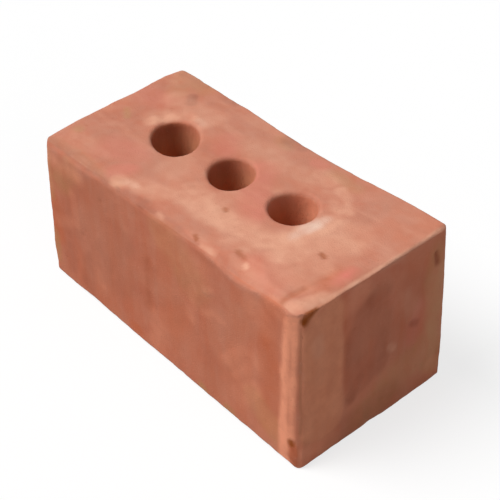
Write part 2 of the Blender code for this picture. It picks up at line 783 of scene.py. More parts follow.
@dataclass(frozen=True)
class Slump:
    """How the wet block left its true shape as it was pressed and dried.

    Attributes:
        end_lean: How far each end leans in at the top.
        side_lean: How far each long face leans in at the top.
        back_hollow: How far the back face is drawn in at the middle.
        bed_sag: How far the upper bed sinks along the back, where it sinks most.
        sag_middle: Where that is, along the brick.
        sag_reach: How far the sinking runs on either hand.
        corners: Where single corners moved to, by their signs along each axis.
    """

    end_lean: float = 2.5
    side_lean: float = 1.2
    back_hollow: float = 1.6
    bed_sag: float = 1.8
    sag_middle: float = 15.0
    sag_reach: float = 52.0
    corners: tuple[tuple[tuple[int, int, int], Triple], ...] = (
        ((-1, 1, 1), (-0.3, 0.3, 0.6)),
        ((-1, -1, 1), (1.5, -0.2, -2.8)),
        ((1, 1, 1), (-0.4, 0.7, 1.4)),
        ((1, -1, 1), (-0.4, 0.3, 0.5)),
        ((-1, -1, -1), (-1.0, -0.2, 0.0)),
        ((1, -1, -1), (0.4, -1.2, 0.0)),
        ((1, 1, -1), (0.2, 0.4, 0.0)),
    )

    def applied(self, points: np.ndarray, low: np.ndarray, high: np.ndarray) -> np.ndarray:
        """Moves points of the true block to where they dried.

        Args:
            points: The points.
            low: The block's lowest corner.
            high: The block's highest corner.

        Returns:
            The moved points.
        """
        share = 2.0 * (points - low) / (high - low) - 1.0
        along, across = share[:, 0], share[:, 1]
        rise = (share[:, 2] + 1.0) / 2.0
        bow = np.clip(1.0 - along**2, 0.0, 1.0)
        moved = points.copy()
        moved[:, 0] -= along * self.end_lean * rise
        moved[:, 1] -= across * self.side_lean * rise + self.back_hollow * bow * (1.0 + across) / 2.0
        dip = np.clip(1.0 - ((points[:, 0] - self.sag_middle) / self.sag_reach) ** 2, 0.0, 1.0)
        moved[:, 2] -= self.bed_sag * dip * smooth(0.0, 1.0, across) * rise
        for signs, offset in self.corners:
            weight = np.prod((1.0 + share * np.array(signs)) / 2.0, axis=1)
            moved += np.clip(weight, 0.0, 1.0)[:, None] * np.array(offset)
        return moved


UPPER, LOWER = Side.UPPER_BED, Side.LOWER_BED
FRONT, BACK = Side.FRONT, Side.BACK
RIGHT, LEFT = Side.RIGHT_END, Side.LEFT_END

DENTS: tuple[Dent, ...] = (
    # Pits and a crumb in the upper bed, and the flared rim behind the first core.
    Dent(UPPER, ((17.0, -18.4), (18.8, -19.6)), 1.5, 0.4, 0.3, 0.58),
    Dent(UPPER, ((22.6, -40.4), (24.6, -41.6)), 1.6, 0.4, 0.4, 0.58),
    Dent(UPPER, ((43.8, -34.2), (48.0, -34.8)), 1.8, 0.4, 0.6, 0.42),
    Dent(UPPER, ((69.4, -10.0), (72.2, -10.8)), 1.6, 0.4, 0.4, 0.58),
    Dent(UPPER, ((51.0, -37.4), (52.2, -38.4)), 1.5, -0.4, 0.4),
    Dent(UPPER, ((-59.0, 8.0), (-54.0, 15.0)), 6.0, 0.9, 0.8),
    # The crease along the right end's lip, its dark partly painted shade, and the lip beyond it.
    Dent(UPPER, ((80.2, -44.0), (80.4, -37.0), (81.0, -30.0)), 1.9, 0.5, 0.3, 0.24),
    Dent(UPPER, ((81.0, -30.0), (83.0, -19.0)), 1.6, 0.3, 0.3, 0.10),
    Dent(UPPER, ((86.0, -46.0), (86.5, -22.0), (87.0, -8.0)), 5.0, -0.5, 0.5),
    # The proud upright band at the front face's right end.
    Dent(FRONT, ((89.5, 10.0), (89.0, 96.0)), 7.0, -0.9, 0.3),
    # Chips at the corners of the right end; the upper one's dark is partly painted shade under the lip.
    Dent(RIGHT, ((-40.8, 82.0), (-39.2, 84.2)), 3.0, 0.5, 0.3, 0.30),
    Dent(RIGHT, ((-39.2, 84.0), (-35.4, 85.2)), 1.9, 0.3, 0.3, 0.20),
    Dent(FRONT, ((90.0, 14.4), (90.3, 13.4)), 1.8, 0.4, 0.2, 0.30),
    # Marks in the right end.
    Dent(RIGHT, ((37.6, 75.6), (38.8, 69.6)), 1.5, 0.7, 0.2, 0.10),
    Dent(RIGHT, ((23.5, 44.6), (26.5, 42.8)), 1.4, 0.4, 0.4, 0.10),
    Dent(RIGHT, ((-18.5, 26.0), (-18.0, 74.0)), 1.6, 0.15, 0.3, 0.05),
    # Dragged grit and a nick in the front face.
    Dent(FRONT, ((-58.0, 26.0), (-50.0, 16.0)), 1.8, 0.3, 0.3),
    Dent(FRONT, ((-9.0, 27.0), (-8.5, 57.0)), 3.0, 0.3, 0.5),
    Dent(FRONT, ((33.0, 63.0), (37.0, 65.0)), 2.2, -0.3, 0.5),
    Dent(FRONT, ((46.0, 30.0), (58.0, 44.0)), 5.0, -0.3, 0.8),
    # The back, the left end and the lower bed, which took the same handling.
    Dent(BACK, ((-52.0, 20.0), (-50.0, 61.0)), 2.4, 0.3, 0.5),
    Dent(BACK, ((31.0, 12.0), (30.0, 40.0)), 1.8, 0.3, 0.4),
    Dent(BACK, ((61.0, 67.0), (65.0, 64.0)), 2.2, 0.9, 1.0, 0.3),
    Dent(BACK, ((-13.0, 47.0), (-10.5, 48.5)), 1.7, 0.7, 0.8, 0.3),
    Dent(LEFT, ((-20.0, 30.0), (-19.0, 62.0)), 2.0, 0.3, 0.4),
    Dent(LEFT, ((16.5, 70.0), (19.5, 71.0)), 1.8, 0.8, 0.9, 0.3),
    Dent(LEFT, ((30.0, 16.0), (34.0, 18.5)), 1.9, 0.7, 0.9, 0.3),
    Dent(LOWER, ((66.0, 20.0), (69.0, 22.0)), 2.2, 1.0, 0.5, 0.5),
    Dent(LOWER, ((-70.0, -22.0),), 2.0, 0.9, 0.4, 0.5),
    Dent(LOWER, ((-22.0, 33.0), (8.0, 34.0)), 1.6, 0.4, 0.5, 0.2),
)

BREAKS: tuple[ArrisBreak, ...] = (
    # The front's upper arris: rounded all along, melted at its left end, slumped near its right.
    ArrisBreak((FRONT, UPPER), 0.9, -20.0, 120.0, 1.5, 1.6),
    ArrisBreak((FRONT, UPPER), 0.9, -70.0, 34.0, 3.0, 2.4),
    ArrisBreak((FRONT, UPPER), 0.6, 50.0, 42.0, 2.6, 1.2),
    ArrisBreak((FRONT, UPPER), 0.5, 53.0, 19.0, 5.2, 0.9),
    ArrisBreak((FRONT, UPPER), 0.9, 73.0, 15.0, 1.7, 2.2),
    ArrisBreak((FRONT, UPPER), 0.9, 93.0, 13.0, 1.9, 1.6, rough=0.3),
    # The right end's upper arris, which sags in two places.
    ArrisBreak((RIGHT, UPPER), 0.5, -30.0, 17.0, 0.8, 0.8, rough=0.4),
    ArrisBreak((RIGHT, UPPER), 0.5, -7.0, 15.0, 0.8, 0.8, rough=0.4),
    ArrisBreak((RIGHT, UPPER), 1.0, 46.0, 12.0, 1.4, 1.0),
    ArrisBreak((BACK, UPPER), 1.0, 94.0, 14.0, 1.0, 1.0),
    # The upright arrises and the corners, rounder than the rest.
    ArrisBreak((LEFT, FRONT), 1.0, 40.0, 60.0, 1.2, 1.6),
    ArrisBreak((LEFT, FRONT), 1.0, 88.0, 22.0, 2.0, 1.4),
    ArrisBreak((LEFT, FRONT), 1.0, 0.0, 20.0, 2.6, 1.2),
    ArrisBreak((LEFT, UPPER), 1.0, -46.0, 24.0, 1.7, 1.2),
    ArrisBreak((LEFT, UPPER), 1.0, 46.0, 14.0, 2.3, 1.0),
    ArrisBreak((BACK, UPPER), 1.0, -94.0, 14.0, 1.2, 1.0),
    ArrisBreak((LEFT, BACK), 1.0, 88.0, 60.0, 2.0, 1.4),
    ArrisBreak((RIGHT, BACK), 1.0, 88.0, 18.0, 1.2, 0.8),
    ArrisBreak((RIGHT, BACK), 1.0, 0.0, 10.0, 1.1, 1.0),
    ArrisBreak((RIGHT, LOWER), 1.0, 46.0, 10.0, 1.1, 1.0),
    ArrisBreak((RIGHT, FRONT), 0.3, 56.0, 90.0, 1.6, 0.4, rough=0.3),
    ArrisBreak((RIGHT, FRONT), 1.0, 50.0, 90.0, 2.6, 0.4, rough=0.3),
    ArrisBreak((RIGHT, FRONT), 1.0, 0.0, 12.0, 1.9, 1.0),
    ArrisBreak((LEFT, BACK), 1.0, 30.0, 15.0, 2.4, 0.8, 0.4),
    # Places knocked off the other arrises.
    ArrisBreak((BACK, LOWER), 1.0, -8.0, 20.0, 2.1, 0.6, 0.4),
    ArrisBreak((FRONT, LOWER), 1.0, -60.0, 18.0, 1.5, 0.6, 0.3),
    ArrisBreak((LEFT, UPPER), 1.0, 12.0, 14.0, 1.2, 0.6, 0.3),
)

STAINS: dict[tuple[Side, Mask], tuple[Stain, ...]] = {
    # Pale bloom on the upper bed: the band along the front, the wash round the cores, streaks, and painted
    # highlights.
    (UPPER, Mask.BLOOM): (
        Stain(((-35.0, -39.4), (-28.0, -37.4), (-20.5, -35.2)), 0.6, 5.0, 0.60),
        Stain(((-22.0, -35.0), (-6.0, -28.0), (6.0, -25.5)), 2.0, 7.5, 0.40),
        Stain(((8.0, -24.5), (30.0, -23.5), (44.0, -23.0)), 3.0, 8.5, 0.58),
        Stain(((36.0, -31.0), (44.0, -29.0)), 2.0, 6.0, 0.36),
        Stain(((57.0, -23.0), (62.0, -17.0)), 2.5, 8.0, 0.48),
        Stain(((65.0, -3.0), (75.0, 3.0)), 3.0, 8.0, 0.44),
        Stain(((66.0, -26.0), (78.0, -28.0)), 3.0, 8.0, 0.28),
        Stain(((26.0, 31.0), (34.0, 29.0)), 2.0, 6.0, 0.34),
        Stain(((48.0, 19.0), (53.0, 15.0)), 1.5, 5.0, 0.44),
        Stain(((44.0, -23.0), (52.0, -18.0), (56.0, -10.0)), 2.5, 7.0, 0.58),
        Stain(((53.0, -13.0), (57.0, 0.0), (57.0, 10.0)), 1.5, 8.0, 0.60),
        Stain(((58.0, 8.0), (64.0, 10.0), (72.0, 8.0)), 3.0, 8.0, 0.32),
        Stain(((42.0, 28.0), (48.0, 25.0), (57.0, 18.0)), 1.0, 4.5, 0.50),
        Stain(((-12.0, 22.0), (0.0, 24.0), (9.0, 22.0)), 2.5, 8.0, 0.26),
        Stain(((16.0, 25.0), (26.0, 25.0)), 2.0, 7.0, 0.26),
        Stain(((-66.0, 4.0), (-61.0, 12.0), (-54.0, 18.0), (-45.0, 20.0)), 1.0, 7.0, 0.30),
        Stain(((-63.0, 2.0), (-60.5, 8.0), (-58.0, 12.0)), 1.5, 5.0, 0.62),
        Stain(((-50.0, 18.0), (-43.0, 16.5)), 1.0, 5.0, 0.42),
        Stain(((-72.0, 22.0), (-60.0, 22.0), (-42.0, 26.0)), 2.5, 7.0, 0.26),
        Stain(((-26.0, -8.0), (-22.0, -18.0), (-10.0, -22.0)), 3.0, 8.0, 0.20),
        Stain(((-8.0, -20.0), (4.0, -19.0)), 2.0, 6.0, 0.42),
        Stain(((10.0, -14.0), (16.0, -20.0)), 2.0, 6.0, 0.32),
        Stain(((68.0, -10.0), (76.0, -16.0)), 3.0, 7.0, 0.28),
        Stain(((51.0, -37.4), (52.2, -38.4)), 0.4, 2.2, 0.70),
        # Painted highlights along the edge of the right end's lip.
        Stain(((91.4, -30.0), (92.6, -18.0), (93.0, 0.0), (93.2, 42.0)), 0.6, 1.8, 0.70),
        Stain(((84.0, -43.0), (88.0, -38.0), (90.0, -28.0)), 0.8, 4.0, 0.50),
        Stain(((-83.0, -32.0), (-79.0, -34.0)), 1.0, 4.0, 0.16),
        # Painted highlights on two crumbs at the front arris.
        Stain(((-1.5, -42.0), (1.5, -42.6)), 0.4, 2.4, 0.40),
        Stain(((29.5, -43.2), (36.0, -42.6)), 0.4, 2.6, 0.40),
    ),
    # Lime, nearly white, beside the third core, behind the first and on the front ridge.
    (UPPER, Mask.LIME): (
        Stain(((52.8, -3.0), (53.2, 3.0)), 0.2, 5.0, 0.55),
        Stain(((52.4, -10.0), (53.0, 0.0), (54.0, 9.0)), 0.2, 3.6, 0.38),
        Stain(((-46.5, 18.0), (-43.5, 17.0)), 0.6, 3.0, 0.12),
        Stain(((-32.0, -38.4), (-24.0, -36.4)), 0.3, 3.0, 0.10),
    ),
    # Rosier clay between and beyond the cores, and on the lip.
    (UPPER, Mask.PINK): (
        Stain(((6.0, 14.0), (14.0, 2.0), (22.0, -8.0), (28.0, -12.0)), 4.0, 8.0, 0.38),
        Stain(((-24.0, 16.0), (-18.0, 12.0)), 3.0, 7.0, 0.32),
        Stain(((-42.0, -36.0), (-39.0, -31.0)), 2.5, 6.0, 0.44),
        Stain(((-58.0, -26.0), (-48.0, -22.0)), 5.0, 9.0, 0.30),
        Stain(((56.0, -32.0), (68.0, -36.0)), 4.0, 7.0, 0.20),
        Stain(((87.6, -18.0), (87.0, -13.0), (86.4, -9.0)), 0.3, 6.0, 0.80),
        Stain(((18.0, 36.0), (22.0, 36.0)), 1.5, 4.0, 0.33),
        Stain(((-84.0, 14.0), (-76.0, 16.0)), 4.0, 8.0, 0.26),
    ),
    # Orange clay by the lip and at the back right corner, and painted shade in orange along the crease.
    (UPPER, Mask.RUST): (
        Stain(((83.0, -28.0), (85.0, -14.0)), 2.0, 5.0, 0.55),
        # Painted shade, in orange, along the crease before the lip.
        Stain(((80.2, -44.0), (80.6, -36.0), (81.4, -28.0)), 0.5, 2.4, 0.70),
        Stain(((72.0, -38.0), (78.0, -30.0)), 2.0, 6.0, 0.25),
        Stain(((84.0, 20.0), (88.0, 34.0)), 3.0, 8.0, 0.25),
    ),
    # Ochre spots, and the ochre tint along the back and along the front arris.
    (UPPER, Mask.OCHRE): (
        Stain(((-81.0, -0.5), (-75.0, -4.5)), 0.6, 2.6, 0.85),
        Stain(((-83.0, -28.0),), 1.5, 4.0, 0.70),
        Stain(((-84.0, 40.0), (-66.0, 39.0)), 2.0, 6.0, 0.45),
        Stain(((-8.0, 37.0), (-1.0, 36.0)), 1.2, 3.5, 0.60),
        Stain(((30.0, 36.0), (46.0, 34.0)), 1.5, 5.0, 0.45),
        Stain(((-80.0, 34.0), (-76.0, 28.0)), 3.0, 7.0, 0.35),
        Stain(((-90.0, -43.5), (-60.0, -43.0), (-34.0, -43.0)), 2.0, 5.0, 0.40),
    ),
    # Brown smudges near the back left corner, duller clay along the back, and painted shade along the front
    # arris.
    (UPPER, Mask.SCORCH): (
        Stain(((-66.0, 29.5), (-62.0, 25.5)), 1.2, 3.4, 0.74),
        Stain(((-5.0, 39.5), (5.0, 40.0)), 1.5, 4.0, 0.55),
        Stain(((-56.0, 40.5), (-45.0, 40.5)), 1.5, 4.0, 0.36),
        Stain(((-84.0, 40.5), (-68.0, 40.5)), 1.5, 4.0, 0.28),
        Stain(((-86.0, 22.0), (-79.0, 8.0)), 4.0, 8.0, 0.28),
        Stain(((-72.0, 4.0), (-69.0, -12.0)), 3.0, 8.0, 0.28),
        Stain(((-53.0, 32.0), (-45.0, 34.0)), 1.5, 5.0, 0.30),
        Stain(((-40.0, 34.0), (-16.0, 34.0)), 3.0, 7.0, 0.20),
        Stain(((62.0, 30.0), (63.0, 18.0)), 2.5, 6.0, 0.24),
        Stain(((-78.0, -14.0), (-58.0, -20.0), (-36.0, -18.0)), 8.0, 14.0, 0.25),
        Stain(((-70.0, 30.0), (-20.0, 28.0), (18.0, 30.0)), 6.0, 12.0, 0.19),
        Stain(((-24.0, 4.0), (16.0, 2.0)), 5.0, 10.0, 0.21),
        Stain(((12.0, -36.0), (22.0, -37.0)), 2.0, 6.0, 0.15),
        Stain(((-60.0, -30.0), (-46.0, -35.0)), 3.0, 7.0, 0.22),
        # Painted shade along the front arris, where the upper bed rounds over into the front.
        Stain(((-90.0, -44.0), (-60.0, -43.6), (-40.0, -43.6)), 2.0, 4.5, 0.52),
        Stain(((-26.0, -43.6), (-12.0, -42.6)), 1.5, 3.5, 0.60),
        Stain(((-14.0, -43.2), (14.0, -43.2)), 1.4, 4.0, 0.48),
        Stain(((14.0, -43.6), (26.0, -43.6)), 0.6, 2.2, 0.30),
    ),
    # The front face's upper arris, darker with painted shade, the foot of its band, its darker drags, and a
    # painted shadow under a crumb.
    (FRONT, Mask.SCORCH): (
        # Painted shade along the rounded upper arris, from the left end to beyond the middle.
        Stain(((-90.0, 85.0), (-40.0, 85.6)), 1.4, 3.4, 0.58),
        Stain(((-29.0, 86.0), (-12.0, 86.2)), 1.6, 3.0, 0.66),
        Stain(((-14.0, 86.2), (14.0, 86.2)), 1.0, 2.5, 0.54),
        Stain(((14.0, 86.2), (26.0, 86.0)), 1.0, 2.5, 0.40),
        Stain(((44.0, 83.5), (52.0, 81.5), (61.0, 83.5)), 0.6, 2.0, 0.26),
        # A painted shadow below a crumb at the arris, on the front face.
        Stain(((31.0, 80.6), (39.0, 81.0)), 0.5, 2.2, 0.14),
        Stain(((90.0, 10.5), (91.6, 2.0)), 0.8, 2.6, 0.35),
        Stain(((-74.0, 67.0), (-62.0, 65.0)), 2.0, 5.0, 0.10),
        Stain(((-10.5, 28.0), (-8.5, 52.0)), 1.0, 6.5, 0.20),
        Stain(((-63.0, 10.0), (-59.0, 26.0)), 3.0, 7.0, 0.26),
        Stain(((-40.0, 24.0), (-24.0, 36.0)), 6.0, 10.0, 0.15),
        Stain(((-46.0, 34.0), (-34.0, 54.0)), 6.0, 12.0, 0.20),
        Stain(((-79.0, 12.0), (-75.0, 24.0)), 2.5, 7.0, 0.20),
        Stain(((-72.0, 40.0), (-58.0, 56.0), (-44.0, 66.0)), 8.0, 12.0, 0.17),
        Stain(((48.5, 29.0), (50.0, 36.0)), 1.0, 3.0, 0.14),
        Stain(((36.0, 8.0), (36.0, 26.0)), 2.5, 8.0, 0.14),
    ),
    # Dust on that arris.
    (FRONT, Mask.DUST): (
        Stain(((-90.0, 84.5), (-38.0, 85.5)), 2.0, 3.5, 0.24),
        Stain(((28.0, 85.0), (40.0, 83.5), (54.0, 81.0), (66.0, 83.5)), 1.0, 2.5, 0.20),
        Stain(((-88.0, 77.0), (-72.0, 78.0), (-54.0, 83.0)), 2.5, 6.0, 0.22),
        Stain(((83.0, 86.0), (93.0, 86.0)), 1.0, 3.0, 0.24),
    ),
    # Painted light on the band at the front's right end and along the front's left arris, and rubbed drags.
    (FRONT, Mask.BARE): (
        # Painted light on the band at the front's right end and its inner line, where its flank turns to the
        # key lamp.
        Stain(((85.4, 2.0), (85.2, 78.0)), 1.4, 3.8, 1.00),
        Stain(((89.4, 18.0), (89.2, 80.0)), 0.8, 2.4, 0.85),
        Stain(((86.0, 80.0), (90.0, 82.0)), 1.8, 2.6, 0.60),
        Stain(((-56.0, 26.0), (-49.0, 16.0)), 1.0, 5.0, 0.10),
        Stain(((-70.0, 60.0), (-68.0, 42.0)), 0.6, 4.0, 0.18),
        Stain(((-86.0, 35.0), (-70.0, 43.0)), 0.8, 5.0, 0.18),
        Stain(((-6.0, 6.0), (-3.0, 22.0)), 3.0, 8.0, 0.20),
        Stain(((21.0, 42.0), (24.0, 60.0)), 0.8, 5.0, 0.25),
        Stain(((31.0, 50.0), (38.0, 54.0), (45.0, 53.0)), 0.5, 3.5, 0.22),
        Stain(((51.0, 31.0), (57.0, 38.0), (64.0, 45.0)), 2.5, 8.0, 0.28),
        Stain(((4.0, 77.0), (26.0, 70.0)), 6.0, 10.0, 0.17),
        Stain(((64.0, 74.0), (71.0, 70.0)), 3.0, 7.0, 0.18),
        Stain(((76.0, 82.0), (83.0, 80.0)), 2.0, 5.0, 0.24),
        Stain(((67.0, 21.0), (76.0, 15.0)), 2.0, 7.0, 0.16),
        Stain(((56.0, 18.0), (66.0, 28.0)), 2.0, 7.0, 0.28),
        # Painted light at the front's upper left corner and along its left arris.
        Stain(((-90.0, 74.0), (-78.0, 73.0), (-66.0, 75.0)), 0.8, 8.0, 0.42),
        Stain(((-91.0, 76.0), (-91.0, 54.0)), 1.5, 5.0, 0.26),
    ),
    # The chip in that band.
    (FRONT, Mask.DIRT): (Stain(((90.0, 14.4), (90.2, 13.6)), 0.4, 2.0, 0.75),),
    # Orange clay under the chip, beside the band and along the foot, and painted light at the left arris.
    (FRONT, Mask.RUST): (
        Stain(((90.4, 11.0), (91.6, 4.0)), 1.2, 2.8, 1.00),
        # Painted light, in orange, along the left arris.
        Stain(((-89.0, 48.0), (-88.0, 28.0)), 3.0, 7.0, 0.55),
        Stain(((74.0, 14.0), (75.0, 60.0)), 1.0, 10.0, 0.50),
        Stain(((76.0, 60.0), (76.0, 84.0)), 1.0, 6.0, 0.34),
        Stain(((-26.0, 5.0), (-20.0, 5.0)), 1.2, 3.5, 0.50),
        Stain(((6.0, 28.0), (14.0, 38.0)), 3.0, 8.0, 0.25),
        Stain(((-10.5, 29.0), (-8.5, 53.0)), 1.0, 6.0, 0.34),
    ),
    # Ochre tints in the drags, at the left arris and along the foot.
    (FRONT, Mask.OCHRE): (
        Stain(((4.0, 78.0), (24.0, 62.0)), 6.0, 10.0, 0.26),
        Stain(((66.0, 22.0), (78.0, 13.0)), 3.0, 8.0, 0.36),
        Stain(((-80.0, 64.0), (-70.0, 76.0)), 3.0, 8.0, 0.40),
        Stain(((-91.0, 76.0), (-91.0, 52.0)), 2.0, 5.0, 0.50),
        Stain(((-92.0, 24.0), (-92.0, 12.0)), 2.0, 5.0, 0.50),
        Stain(((28.0, 3.0), (31.0, 2.0)), 0.8, 3.0, 0.60),
        Stain(((47.0, 3.0), (50.0, 2.0)), 0.8, 3.0, 0.60),
    ),
    # A pale crumb.
    (FRONT, Mask.BLOOM): (Stain(((33.0, 63.0), (37.0, 65.0)), 0.5, 3.5, 0.18),),
    # The right end: painted shade along its front arris and below the corner chip, the darker patch of a
    # kiln mark, and small marks.
    (RIGHT, Mask.SCORCH): (
        # Painted shade along the arris with the front.
        Stain(((-43.8, 22.0), (-43.6, 76.0)), 0.8, 2.2, 0.30),
        # Painted shade below the chip at the upper front corner.
        Stain(((-41.4, 78.5), (-40.6, 81.0)), 0.6, 3.0, 0.40),
        Stain(((-8.5, 34.0), (-8.0, 54.0), (-3.0, 62.0)), 8.5, 5.0, 0.32),
        Stain(((37.2, 76.2), (38.6, 70.0)), 0.3, 2.4, 0.95),
        Stain(((23.4, 44.8), (26.4, 43.0)), 0.3, 3.2, 0.62),
        Stain(((-14.5, 24.0), (-10.0, 31.0)), 2.0, 4.5, 0.45),
        Stain(((-2.0, 71.0), (3.0, 73.0)), 2.0, 6.0, 0.36),
        Stain(((2.0, 36.0), (5.0, 54.0)), 4.0, 8.0, 0.36),
        Stain(((-22.0, 8.0), (10.0, 10.0)), 4.0, 9.0, 0.20),
        Stain(((18.0, 36.0), (24.0, 64.0)), 5.0, 9.0, 0.14),
    ),
    # Yellower clay round that patch, and painted shade along the front arris.
    (RIGHT, Mask.OCHRE): (
        # Painted shade along the arris with the front.
        Stain(((-43.8, 22.0), (-43.6, 76.0)), 0.8, 2.2, 0.28),
        Stain(((-32.0, 22.0), (-31.0, 78.0)), 10.0, 4.5, 0.26),
        Stain(((38.0, 20.0), (38.0, 76.0)), 2.0, 7.0, 0.46),
        Stain(((34.0, 14.0), (40.0, 10.0)), 1.5, 5.0, 0.50),
        Stain(((-4.0, 10.0), (30.0, 24.0)), 5.0, 10.0, 0.28),
    ),
    # The chip at the upper front corner, its dark partly painted shade under the lip.
    (RIGHT, Mask.DIRT): (
        Stain(((-40.8, 82.2), (-39.6, 84.0), (-38.6, 84.8)), 1.1, 2.6, 0.92),
        Stain(((-38.6, 84.8), (-35.4, 85.6)), 0.4, 2.2, 0.66),
    ),
    # The strip beside the patch, and rubbed corners.
    (RIGHT, Mask.BARE): (
        Stain(((-31.0, 22.0), (-31.0, 78.0)), 10.5, 3.5, 0.40),
        Stain(((-20.0, 76.0), (-9.0, 81.0)), 2.5, 6.0, 0.30),
        Stain(((-38.0, 8.0), (-28.0, 7.0)), 3.0, 6.0, 0.30),
        Stain(((38.0, 10.0), (42.0, 6.0)), 2.0, 5.0, 0.28),
    ),
    # Pale flecks.
    (RIGHT, Mask.BLOOM): (
        Stain(((30.0, 14.0), (38.0, 26.0), (40.0, 62.0)), 3.0, 7.0, 0.16),
        Stain(((9.5, 39.0), (11.5, 37.0)), 0.5, 2.6, 0.24),
        Stain(((18.0, 62.0), (24.0, 52.0)), 2.0, 6.0, 0.14),
        Stain(((-34.0, 68.0), (-33.6, 62.0)), 0.6, 4.0, 0.22),
    ),
    # Rosier clay in the patch.
    (RIGHT, Mask.PINK): (Stain(((24.0, 36.0), (28.0, 50.0)), 2.0, 6.0, 0.28),),
    # The back, the left end and the lower bed, which took the same handling.
    (BACK, Mask.SCORCH): (Stain(((-30.0, 12.0), (-29.0, 74.0)), 12.0, 7.0, 0.32),),
    (BACK, Mask.BLOOM): (
        Stain(((10.0, 24.0), (40.0, 36.0), (72.0, 30.0)), 2.0, 9.0, 0.30),
        Stain(((-86.0, 10.0), (-85.0, 70.0)), 2.0, 6.0, 0.35),
    ),
    (BACK, Mask.OCHRE): (Stain(((50.0, 80.0), (84.0, 76.0)), 2.0, 8.0, 0.45),),
    (BACK, Mask.RUST): (Stain(((14.0, 60.0), (18.0, 76.0)), 4.0, 9.0, 0.40),),
    (LEFT, Mask.SCORCH): (Stain(((14.0, 10.0), (15.0, 74.0)), 10.0, 6.0, 0.30),),
    (LEFT, Mask.BLOOM): (Stain(((-26.0, 20.0), (-30.0, 58.0)), 2.0, 7.0, 0.30),),
    (LEFT, Mask.RUST): (Stain(((-40.0, 14.0), (-40.0, 70.0)), 1.5, 5.0, 0.55),),
    (LOWER, Mask.SCORCH): (Stain(((-60.0, 26.0), (-20.0, 30.0)), 6.0, 12.0, 0.30),),
    (LOWER, Mask.BLOOM): (Stain(((-20.0, -28.0), (40.0, -30.0), (78.0, -20.0)), 4.0, 10.0, 0.45),),
    (LOWER, Mask.PINK): (Stain(((20.0, 6.0), (66.0, 12.0)), 6.0, 12.0, 0.45),),
}


class NodeBench:
    """Adds the nodes of one tree from left to right, and links them.

    Attributes:
        STEP: How far apart the nodes stand.
    """

    STEP: ClassVar[float] = 190.0

    def __init__(self, tree: bpy.types.NodeTree) -> None:
        """Takes the tree to work on."""
        self.tree = tree
        self.count = 0

    def add(self, kind: str, **settings: Any) -> bpy.types.Node:
        """Adds one node.

        Args:
            kind: The node's type, without the word ShaderNode in front.
            settings: Values for the node's own properties.

        Returns:
            The node.
        """
        node = self.tree.nodes.new(f"ShaderNode{kind}")
        node.location = (self.count * self.STEP, 0.0)
        self.count += 1
        for name, value in settings.items():
            setattr(node, name, value)
        return node

    def feed(self, target: bpy.types.NodeSocket, source: Source) -> None:
        """Links a socket to an input, or sets the input to a plain value.

        Args:
            target: The input.
            source: The socket or the value.
        """
        if isinstance(source, bpy.types.NodeSocket):
            self.tree.links.new(source, target)
        elif isinstance(source, tuple) and len(source) == 3 and target.type == "RGBA":
            target.default_value = (*source, 1.0)
        else:
            target.default_value = source

    def placed(self, group: bpy.types.NodeTree, **inputs: Source) -> bpy.types.Node:
        """Places a node group.

        Args:
            group: The group.
            inputs: What goes into its inputs, by their names.

        Returns:
            The group's node.
        """
        node = self.add("Group", node_tree=group)
        for name, source in inputs.items():
            self.feed(node.inputs[name], source)
        return node

    def math(self, operation: str, first: Source, second: Source) -> bpy.types.NodeSocket:
        """Works out one sum.

        Args:
            operation: The kind of sum, by Blender's name for it.
            first: What it starts from.
            second: What it adds, takes away, multiplies by or compares with.

        Returns:
            The result's socket.
        """
        node = self.add("Math", operation=operation)
        self.feed(node.inputs[0], first)
        self.feed(node.inputs[1], second)
        return node.outputs[0]

    def remap(
        self, value: Source, low: float, high: float, start: float = 0.0, end: float = 1.0
    ) -> bpy.types.NodeSocket:
        """Takes low to start and high to end, eased and held there.

        Args:
            value: What to take there.
            low: The value that becomes start.
            high: The value that becomes end.
            start: The result at low.
            end: The result at high.

        Returns:
            The result's socket.
        """
        node = self.add("MapRange", interpolation_type="SMOOTHSTEP")
        names = ("Value", "From Min", "From Max", "To Min", "To Max")
        for name, source in zip(names, (value, low, high, start, end)):
            self.feed(node.inputs[name], source)
        return node.outputs["Result"]

    def tint(self, share: Source, under: Source, over: Source) -> bpy.types.NodeSocket:
        """Lays one colour over another.

        Args:
            share: How much of it shows.
            under: The colour below.
            over: The colour laid on it.

        Returns:
            The mixed colour's socket.
        """
        node = self.add("Mix", data_type="RGBA")
        self.feed(node.inputs["Factor"], share)
        self.feed(node.inputs[6], under)
        self.feed(node.inputs[7], over)
        return node.outputs[2]

    def wash(self, under: Source, over: Source, mask: Source, strength: float) -> bpy.types.NodeSocket:
        """Lays a thin coat of one colour over another.

        Args:
            under: The colour below.
            over: The colour laid on it.
            mask: Where it lies.
            strength: How much of it shows there.

        Returns:
            The mixed colour's socket.
        """
        return self.tint(self.math("MULTIPLY", mask, strength), under, over)

    def noise(
        self, vector: Source, scale: Source, detail: float, distortion: float = 0.0
    ) -> bpy.types.NodeSocket:
        """Smooth noise over the surface, around a half.

        Args:
            vector: Where on the surface it is read.
            scale: How many waves there are to a metre.
            detail: How many finer sizes of waves it has.
            distortion: How far the waves are warped.

        Returns:
            The noise's socket.
        """
        node = self.add("TexNoise")
        self.feed(node.inputs["Vector"], vector)
        self.feed(node.inputs["Scale"], scale)
        node.inputs["Detail"].default_value = detail
        node.inputs["Distortion"].default_value = distortion
        return node.outputs["Fac"]

    def mask(self, mask: Mask) -> bpy.types.NodeSocket:
        """Reads one of the masks that the mesh carries."""
        return self.add("Attribute", attribute_type="GEOMETRY", attribute_name=mask.value).outputs["Fac"]


